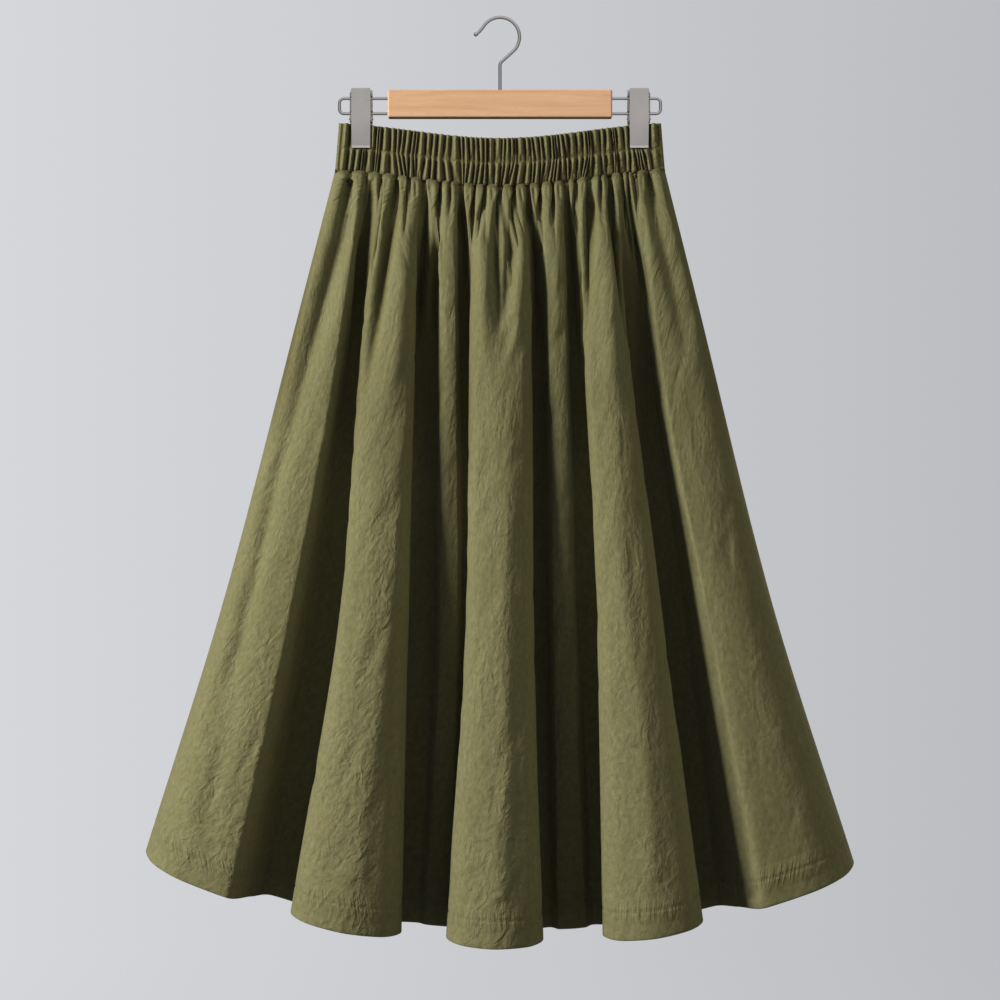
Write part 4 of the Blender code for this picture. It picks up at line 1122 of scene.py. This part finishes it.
def panel_surface(folds, gathers, floor):
    """Outer points of a panel that faces -Y: one row for each drop below the waist seam."""
    lines = [line for fold in folds for line in LINES_OF[type(fold)](fold)]
    at = np.array([line.gather for line in lines])
    top_x = seam_x(gathers, at)
    top_z = seam_z(top_x)
    hem_x = np.array([line.x[-1] for line in lines]) * MM
    foot_z = hem_z(hem_x)
    across = seam_x(gathers, panel_numbers)
    uneven_x = across - glide(at, top_x, panel_numbers)
    uneven_z = seam_z(across) - glide(at, top_z, panel_numbers, flat_ends=True)
    rows = []
    for drop in panel_drops:
        level = drop / panel_length
        points = []
        for i, line in enumerate(lines):
            z = top_z[i] + (foot_z[i] - top_z[i]) * level
            heights = (-top_z[i], -UPPER_Z, -MIDDLE_Z, -foot_z[i])
            x = glide(heights, (top_x[i], *(line.x * MM)), -z)
            rise = glide(heights, (0, *(line.rise * MM)), -z)
            seat = band_space(x) + SEAM_STAND + PUFF * fade(drop, 0, PUFF_REACH)
            seat = seat * (1 - level) + floor * level
            points.append((x, -(seat * line.seat + rise), z))
        x, y, z = np.array(points).T
        settled = math.exp(-((level / EVEN_BY) ** 2))
        x = glide(at, x, panel_numbers, flat_ends=True) + uneven_x * settled
        y = glide(at, y, panel_numbers)
        z = glide(at, z, panel_numbers, flat_ends=True) + uneven_z * settled
        tuck = SEAM_TUCK * (1 - min(drop / SEAM_TUCK_REACH, 1)) ** 2
        lift = gather_relief(gathers, panel_numbers, drop) - tuck
        lift *= fade(np.minimum(panel_numbers, GATHERS - panel_numbers), 0, SIDE_CALM)
        relief = lift[:, None] * plan_normals(x, y)
        rows.append(np.stack([x + relief[:, 0], y + relief[:, 1], z], axis=-1))
    return np.array(rows)


def outward(rows):
    """Outward directions of a surface of rows of points that faces -Y."""
    along = np.gradient(rows, axis=1)
    down = np.gradient(rows, axis=0)
    directions = np.cross(down, along)
    directions /= np.linalg.norm(directions, axis=-1, keepdims=True)
    return directions


def run_along(rows):
    """Distance along each row from its first point."""
    steps = np.linalg.norm(np.diff(rows, axis=1), axis=-1)
    return np.concatenate([np.zeros((len(rows), 1)), np.cumsum(steps, axis=1)], axis=1)


def front_column(across, y, x):
    """Column, with its fraction, where a row of points passes x nearest to the viewer."""
    passes = np.flatnonzero((across[:-1] - x) * (across[1:] - x) <= 0)
    if len(passes) == 0:
        return None
    c = passes[np.argmin(y[passes])]
    return c + (x - across[c]) / (across[c + 1] - across[c])


def sharp_floor(away, left, right):
    """A valley with a sharp floor and round shoulders: 1 along its line, 0 beyond its reach."""
    off = np.sqrt((away / np.where(away < 0, left, right)) ** 2 + SHARP_ROUND)
    return SHARP_GAIN * (1 - np.minimum(off, 1)) ** SHARP_SIDES


def soft_floor(away, left, right):
    """A shallow trough without edges."""
    return np.exp(-((away / np.where(away < 0, left, right)) ** 2))


def press_lines(relief, rows, run, valleys, floor):
    """Presses valleys into a surface where a viewer in front sees them."""
    columns = np.arange(rows.shape[1])
    nearer = VIEW_FROM / (VIEW_FROM + rows[:, :, 1])
    across = rows[:, :, 0] * nearer
    depth = -(VIEW_Z + (rows[:, :, 2] - VIEW_Z) * nearer)
    for valley in valleys:
        drops = np.array(valley.drop) * MM
        for r in range(len(rows)):
            drop = depth[r, len(columns) // 2]
            for _ in range(VIEW_TRIES):
                x = glide(drops, np.array(valley.x) * MM, np.clip(drop, drops[0], drops[-1]))
                column = front_column(across[r], rows[r, :, 1], x)
                if column is None:
                    break
                drop = np.interp(column, columns, depth[r])
            if column is None or not drops[0] < drop < drops[-1]:
                continue
            deep = glide(drops, np.array(valley.deep) * MM, drop)
            away = (run[r] - np.interp(column, columns, run[r])) / valley_width[r]
            relief[r] -= deep * valley_depth[r] * floor(away, valley.left * MM, valley.right * MM)


def part_gathers(relief, run, chance):
    """Presses valleys between a panel's gathers by rule: each fades out at its own drop."""
    for i in range(1, GATHERS):
        column = np.argmin(np.abs(panel_numbers - i))
        deep = chance.uniform(*BACK_DEEP) * MM
        ends = chance.uniform(*BACK_ENDS) * MM
        reach = chance.uniform(*BACK_REACH, 2) * MM
        away = run - run[:, column:column + 1]
        amount = deep * valley_depth * fade(panel_drops, ends, BACK_FADES * ends)
        relief -= amount[:, None] * sharp_floor(away / valley_width[:, None], *reach)


def painted_panel_shade(rows, relief):
    """Painted shade, from 0 on the crests to 1 deep between them, and some right under the waist seam."""
    forward = -rows[:, :, 1]
    crests = forward.copy()
    for step in range(1, PAINTED_SHADE_COLUMNS):
        crests[:, step:] = np.maximum(crests[:, step:], forward[:, :-step])
        crests[:, :-step] = np.maximum(crests[:, :-step], forward[:, step:])
    below = PAINTED_FOLD_SHADE * np.clip((crests - forward) / PAINTED_SHADE_BELOW, 0, 1) ** PAINTED_SHADE_LIGHTENS
    below *= (fade(panel_drops, *PAINTED_SHADE_FROM) * fade(panel_drops, *PAINTED_SHADE_TO))[:, None]
    shallow = PAINTED_SHADE_SHALLOW + (1 - PAINTED_SHADE_SHALLOW) * fade(panel_drops, 0, PAINTED_SHADE_SHALLOW_BY)
    pressed = np.clip(-relief / (PAINTED_SHADE_DEPTH * shallow)[:, None], 0, 1) ** PAINTED_SHADE_LIGHTENS
    at_seam = PAINTED_SEAM_SHADE * np.exp(-((panel_drops / PAINTED_SEAM_SHADE_REACH) ** 2))[:, None]
    return np.maximum(np.maximum(pressed, below), at_seam)


def press_dimples(relief, run, dimples):
    """Adds small dimples, each a gather number, drop, half width, half length, lean and height."""
    columns = np.arange(len(panel_numbers)) * 0.9999   # so that there is always a next one
    for gather, drop, half, reach, lean, height in dimples:
        ends = (drop - DIMPLE_ENDS * reach, drop + DIMPLE_ENDS * reach)
        near = slice(*np.searchsorted(panel_drops, ends))
        down = (panel_drops[near] - drop)[:, None]
        column = np.interp(gather, panel_numbers, columns)
        c = int(column)
        middle = run[near, c] + (run[near, c + 1] - run[near, c]) * (column - c)
        away = run[near] - middle[:, None] + lean * down
        relief[near] += height * np.exp(-((away / half) ** 2) - (down / reach) ** 2)


def scattered(chance, count, drops, half, reach, lean, height):
    """Dimples at random places within ranges, as rows of gather, drop, half, reach, lean and height."""
    ranges = ((DIMPLE_SIDES, GATHERS - DIMPLE_SIDES), drops, half, reach, lean, height)
    return np.stack([chance.uniform(low, high, count) for low, high in ranges], axis=-1)


def crinkles(seed):
    """Crinkles of washed cotton all over a panel, soft waves down it, and puckers along its hem."""
    chance = np.random.default_rng(seed)
    waves = scattered(
        chance, count=110, drops=(0.08, 0.66), half=(0.007, 0.013), reach=(0.05, 0.12),
        lean=(-0.10, 0.10), height=(-0.0011, 0.0009),
    )
    small = scattered(
        chance, count=620, drops=(0.10, 0.71), half=(0.0040, 0.0065), reach=(0.010, 0.022),
        lean=(0.10, 0.80), height=(-0.0012, 0.0006),
    )
    places = np.arange(0.15, GATHERS - 0.1, PUCKER_STEP)
    places += chance.uniform(-PUCKER_DRIFT, PUCKER_DRIFT, len(places))
    puckers = []
    for gather in places:
        height = chance.uniform(*PUCKER_HEIGHTS) * MM
        middle = panel_length - HEM_TURN + chance.uniform(-PUCKER_RISE, PUCKER_RISE) * MM
        puckers.append((gather, middle, *PUCKER, height))
    return np.concatenate([waves, small, puckers])


def panel_piece(name, rows, run, painted_shades, side):
    """A closed cloth wall on a panel's outer points, rounded over at the hem and taken in at the seam."""
    outer = rows.copy()
    outer[:, :, 1] -= GAP / 2
    outer[0, :, 1:] += SEAM_ALLOWANCE
    down, along = outer.shape[:2]
    turned = panel_length - HEM_TURN
    thickness = CLOTH + (HEM_CLOTH - CLOTH) * fade(panel_drops, turned - HEM_STEP, turned)
    kept = sorted({*range(0, down, INNER_STEP), *range(down - HEM_ROWS, down, HEM_INNER_STEP), down - 1})
    inner = []
    for r in kept:
        row = outer[r].copy()
        inward = -plan_normals(row[:, 0], row[:, 1]) * thickness[r]
        inward[0] = (thickness[r], GAP / 2 + SIDES_MEET)
        inward[-1] = (-thickness[r], GAP / 2 + SIDES_MEET)
        row[:, :2] += inward
        inner.append(row)
    middle = (outer[-1] + inner[-1]) / 2
    half = (outer[-1] - inner[-1]) / 2
    rim = []
    for turn in np.radians(RIM_TURNS):
        row = middle + half * math.cos(turn)
        row[:, 2] -= HEM_CLOTH / 2 * math.sin(turn)
        rim.append(row)
    points = np.concatenate([outer.reshape(-1, 3), *rim, *inner])
    points[:, 1] *= side
    numbers = np.arange(len(points)).reshape(-1, along)
    outsides = numbers[:down + len(rim)]
    insides = numbers[down + len(rim):]
    loop = [*outsides, *insides[::-1]]
    faces = []
    for this_row, next_row in zip(loop, loop[1:] + loop[:1]):
        faces += quads(this_row, next_row)
    for c in (0, along - 1):
        for k in range(len(kept) - 1):
            edge = outsides[kept[k]:kept[k + 1] + 1, c]
            faces.append([*edge.tolist(), int(insides[k + 1, c]), int(insides[k, c])])
        faces.append([*outsides[down - 1:, c].tolist(), int(insides[-1, c])])
    from_middle = run - run[:, along // 2:along // 2 + 1]
    order = [*range(down), *[down - 1] * len(rim), *kept]
    places = np.concatenate([
        np.stack([from_middle[r], np.full(along, panel_drops[r])], axis=-1) for r in order
    ])
    return cloth_piece(name, points, faces, places, np.concatenate([painted_shades[r] for r in order]))


def back_gathers():
    """Gathers behind, as many as in front and as uneven, with their places from a rule."""
    gathers = []
    pitch = 2 * BAND_HALF_FOOT / MM / GATHERS
    for i in range(GATHERS):
        drift = 0.22 * math.sin(2.4 * i + 0.7) * (0 < i < GATHERS - 1)
        gathers.append(Gather(
            x=(i + 0.5 + drift) * pitch - BAND_HALF_FOOT / MM,
            proud=4.2 + 0.7 * math.sin(3.7 * i),
            run=115 + 40 * math.sin(1.9 * i),
            pit=0.5 + 0.5 * math.sin(4.3 * i + 1),
        ))
    return gathers


panels = {}
for panel_name, folds, gathers, floor, seed, side in (
    ("front_panel", FRONT_FOLDS, FRONT_GATHERS, FRONT_FLOOR, 5, 1),
    ("back_panel", BACK_FOLDS, back_gathers(), BACK_FLOOR, 8, -1),
):
    surface = panel_surface(folds, gathers, floor)
    run = run_along(surface)
    relief = np.zeros(surface.shape[:2])
    if panel_name == "front_panel":
        press_lines(relief, surface, run, FRONT_VALLEYS, sharp_floor)
        # Painted shade follows the folds and the valleys pressed so far
        painted_shades = painted_panel_shade(surface, relief)
        press_lines(relief, surface, run, FRONT_WAVES, soft_floor)
    else:
        part_gathers(relief, run, np.random.default_rng(31))
        painted_shades = painted_panel_shade(surface, relief)
    press_dimples(relief, run, crinkles(seed))
    from_stitching = panel_length - HEM_TURN - panel_drops
    relief -= STITCHED_IN * np.exp(-((from_stitching / STITCHED_HALF) ** 2))[:, None]
    relief *= fade(np.minimum(panel_numbers, GATHERS - panel_numbers), 0, SIDE_PLAIN)
    surface += relief[:, :, None] * outward(surface)
    panels[panel_name] = surface
    cloth_panel = panel_piece(f"{panel_name}_cloth", surface, run, painted_shades, side)
    belongs(cloth_panel, "cloth", panel_name)

# The stitching: olive thread along the waistband between its channels, along the seam under it,
# and round the hem 25 mm up. Each stitch is a short round length of thread.
STITCH = 2.4 * MM
STITCH_STEP = 3.2 * MM
STITCH_SHAPE = {"Segments": 6, "Rings": 4, "Radius": 1.0}
THREAD = 0.22 * MM                # radius
SEAM_UP = 1.8 * MM                # how far above the waistband's foot it is stitched
BAND_PROUD = 0.08 * MM            # how far the stitches' middles stand off the cloth
HEM_PROUD = 0.05 * MM
HEM_CLEAR = 3                     # columns without stitches beside each side seam

stitching = Recipe("stitching", {
    "Length": "NodeSocketFloat", "Step": "NodeSocketFloat", "Radius": "NodeSocketFloat",
})
seam_line = stitching.add("GeometryNodeMeshToCurve", {}, {"Mesh": stitching.given("Path")})
stops_along = stitching.add(
    "GeometryNodeResampleCurve",
    {"mode": "LENGTH"},
    {"Curve": seam_line, "Length": stitching.given("Step")},
)
bead = stitching.add("GeometryNodeMeshUVSphere", {}, STITCH_SHAPE)
stitch_size = stitching.add("ShaderNodeCombineXYZ", {}, {
    "X": stitching.given("Length") * 0.5,
    "Y": stitching.given("Radius"),
    "Z": stitching.given("Radius"),
})
heading = stitching.add("GeometryNodeInputTangent")
facing = stitching.add("FunctionNodeAlignRotationToVector", {"axis": "X"}, {"Vector": heading})
sewn = stitching.add(
    "GeometryNodeInstanceOnPoints",
    {},
    {"Points": stops_along, "Instance": bead, "Rotation": facing, "Scale": stitch_size},
)
stitching.finish(stitching.add("GeometryNodeSetShadeSmooth", {}, {"Geometry": sewn}))

thread = Finish("olive_thread", {"Specular IOR Level": 0.25})
twist = thread.noise(thread.placed((0.0004, 0.0004, 0.0004)), detail=1.0)
thread.vary("Base Color", thread.blend(twist, (0.10, 0.098, 0.040, 1), (0.19, 0.18, 0.09, 1)))
thread.vary("Roughness", 0.6 + 0.2 * twist)

stitch_sizes = {"Length": STITCH, "Step": STITCH_STEP, "Radius": THREAD}
band_lines = []
for stitched_at in (BAND_STITCHED, BAND_HEIGHT - SEAM_UP):
    line = band_points[np.argmin(np.abs(band_drops - stitched_at))].copy()
    line[:, 1] += np.sign(line[:, 1]) * BAND_PROUD
    band_lines.append(np.vstack([line, line[:1]]))
band_stitches = stitching.run("waistband_stitches", path_of(band_lines), stitch_sizes, thread)
belongs(band_stitches, "cloth")
hem_row = np.argmin(np.abs(panel_drops - (panel_length - HEM_TURN)))
for panel_name, side in (("front_panel", 1), ("back_panel", -1)):
    surface = panels[panel_name]
    line = surface[hem_row] + outward(surface)[hem_row] * HEM_PROUD
    line[:, 1] -= GAP / 2
    hem_path = path_of([line[HEM_CLEAR:-HEM_CLEAR] * (1, side, 1)])
    piece = stitching.run(f"{panel_name}_hem_stitches", hem_path, stitch_sizes, thread)
    belongs(piece, "cloth")

# The studio: a closed round room that shines pale grey by itself and lights nothing, with painted
# light that makes it lighter to the left, and round it a dome that bare metal mirrors and nothing
# else sees, pale in front and overhead and dark elsewhere.
ROOM_RADIUS = 4.6
ROOM_FLOOR = -1.95
ROOM_TOP = 3.2
ROOM_FADES = (-1.7, 1.7)          # across, from its lighter to its darker painted light
DOME_RADIUS = 8
DOME_FRONT = (0.25, -0.85)        # in radii from its middle, from dark to pale
DOME_UP = (0.30, 0.80)


class Glow(Paint):
    """A paint that shines with its own colour, from one tone to another."""

    def along(self, axis, start, end, how="LINEAR"):
        """From 0 to 1 between two places on an axis."""
        spot = self.add("ShaderNodeTexCoord", output="Object")
        place = self.add("ShaderNodeSeparateXYZ", {}, {"Vector": spot}, axis)
        return self.ranged(place, start, end, how=how)

    def shine(self, share, first, second):
        colour = self.ramp(share, [(0.0, first), (1.0, second)])
        glow = self.add("ShaderNodeEmission", {}, {"Color": colour, "Strength": 1.0})
        self.feed(self.tree.nodes["Material Output"].inputs["Surface"], glow)


def surround(name, shape, paint, unseen_by):
    """A painted shell round the object that some kinds of rays don't see."""
    mesh = bpy.data.meshes.new(name)
    shape.to_mesh(mesh)
    shape.free()
    mesh.materials.append(paint.material)
    mesh.shade_smooth()
    shell = put(name, mesh)
    for kind in unseen_by:
        setattr(shell, f"visible_{kind}", False)


room_paint = Glow("room_paint")
room_share = room_paint.along("X", *ROOM_FADES)
# Painted light: the room glows lighter to the left and darker to the right
room_paint.shine(room_share, (0.672, 0.682, 0.712, 1), (0.498, 0.505, 0.530, 1))
room_shape = bmesh.new()
bmesh.ops.create_cone(
    room_shape, cap_ends=True, segments=96, radius1=ROOM_RADIUS, radius2=ROOM_RADIUS,
    depth=ROOM_TOP - ROOM_FLOOR,
)
bmesh.ops.translate(room_shape, vec=(0, 0, (ROOM_TOP + ROOM_FLOOR) / 2), verts=room_shape.verts)
bmesh.ops.reverse_faces(room_shape, faces=room_shape.faces)
surround("room", room_shape, room_paint, ("diffuse", "glossy", "shadow"))

dome_paint = Glow("dome_paint")
dome_front = dome_paint.along("Y", *(part * DOME_RADIUS for part in DOME_FRONT), "SMOOTHSTEP")
dome_up = dome_paint.along("Z", *(part * DOME_RADIUS for part in DOME_UP), "SMOOTHSTEP")
dome_paint.shine(dome_front * 0.58 + dome_up * 0.85, (0.055, 0.053, 0.052, 1), (1.0, 1.0, 1.02, 1))
dome_shape = bmesh.new()
bmesh.ops.create_uvsphere(dome_shape, u_segments=48, v_segments=24, radius=DOME_RADIUS)
surround("dome", dome_shape, dome_paint, ("camera", "diffuse", "transmission", "shadow"))

# The lights: one soft key light from the left, a weak warm one from the right, one from behind,
# and a faint warm light from all round.
LIT_POINT = Vector((0, 0, -0.45))

world = bpy.data.worlds.new("soft_fill")
world.use_nodes = True
world.node_tree.nodes["Background"].inputs["Color"].default_value = (1.0, 0.93, 0.62, 1)
world.node_tree.nodes["Background"].inputs["Strength"].default_value = 0.05
bpy.context.scene.world = world


def soft_light(name, place, size, power, colour):
    """A square soft light at a place, turned towards the skirt."""
    data = bpy.data.lights.new(name, "AREA")
    data.shape = "SQUARE"
    data.size = size
    data.energy = power
    data.color = colour
    lamp = put(name, data)
    lamp.location = place
    lamp.rotation_euler = (lamp.location - LIT_POINT).to_track_quat("Z", "Y").to_euler()
    lamp.visible_glossy = False


soft_light("key", (-3.0, -1.5, 0.75), size=0.95, power=234, colour=(1.0, 0.99, 1.02))
soft_light("fill", (2.4, -1.1, 0.1), size=1.5, power=16, colour=(1.0, 0.95, 0.68))
soft_light("behind", (0.8, 2.4, 0.7), size=1.2, power=40, colour=(0.95, 0.97, 1.0))

# The camera: level, in front of the middle of the skirt and its hanger.
camera_data = bpy.data.cameras.new("camera")
camera_data.lens = 72
camera_data.clip_start = 0.05
camera_data.clip_end = 50
camera = put("camera", camera_data)
camera.location = (0, -VIEW_FROM, VIEW_Z)
camera.rotation_euler = (math.radians(90), 0, 0)
bpy.context.scene.camera = camera
bpy.context.scene.view_settings.view_transform = "Standard"
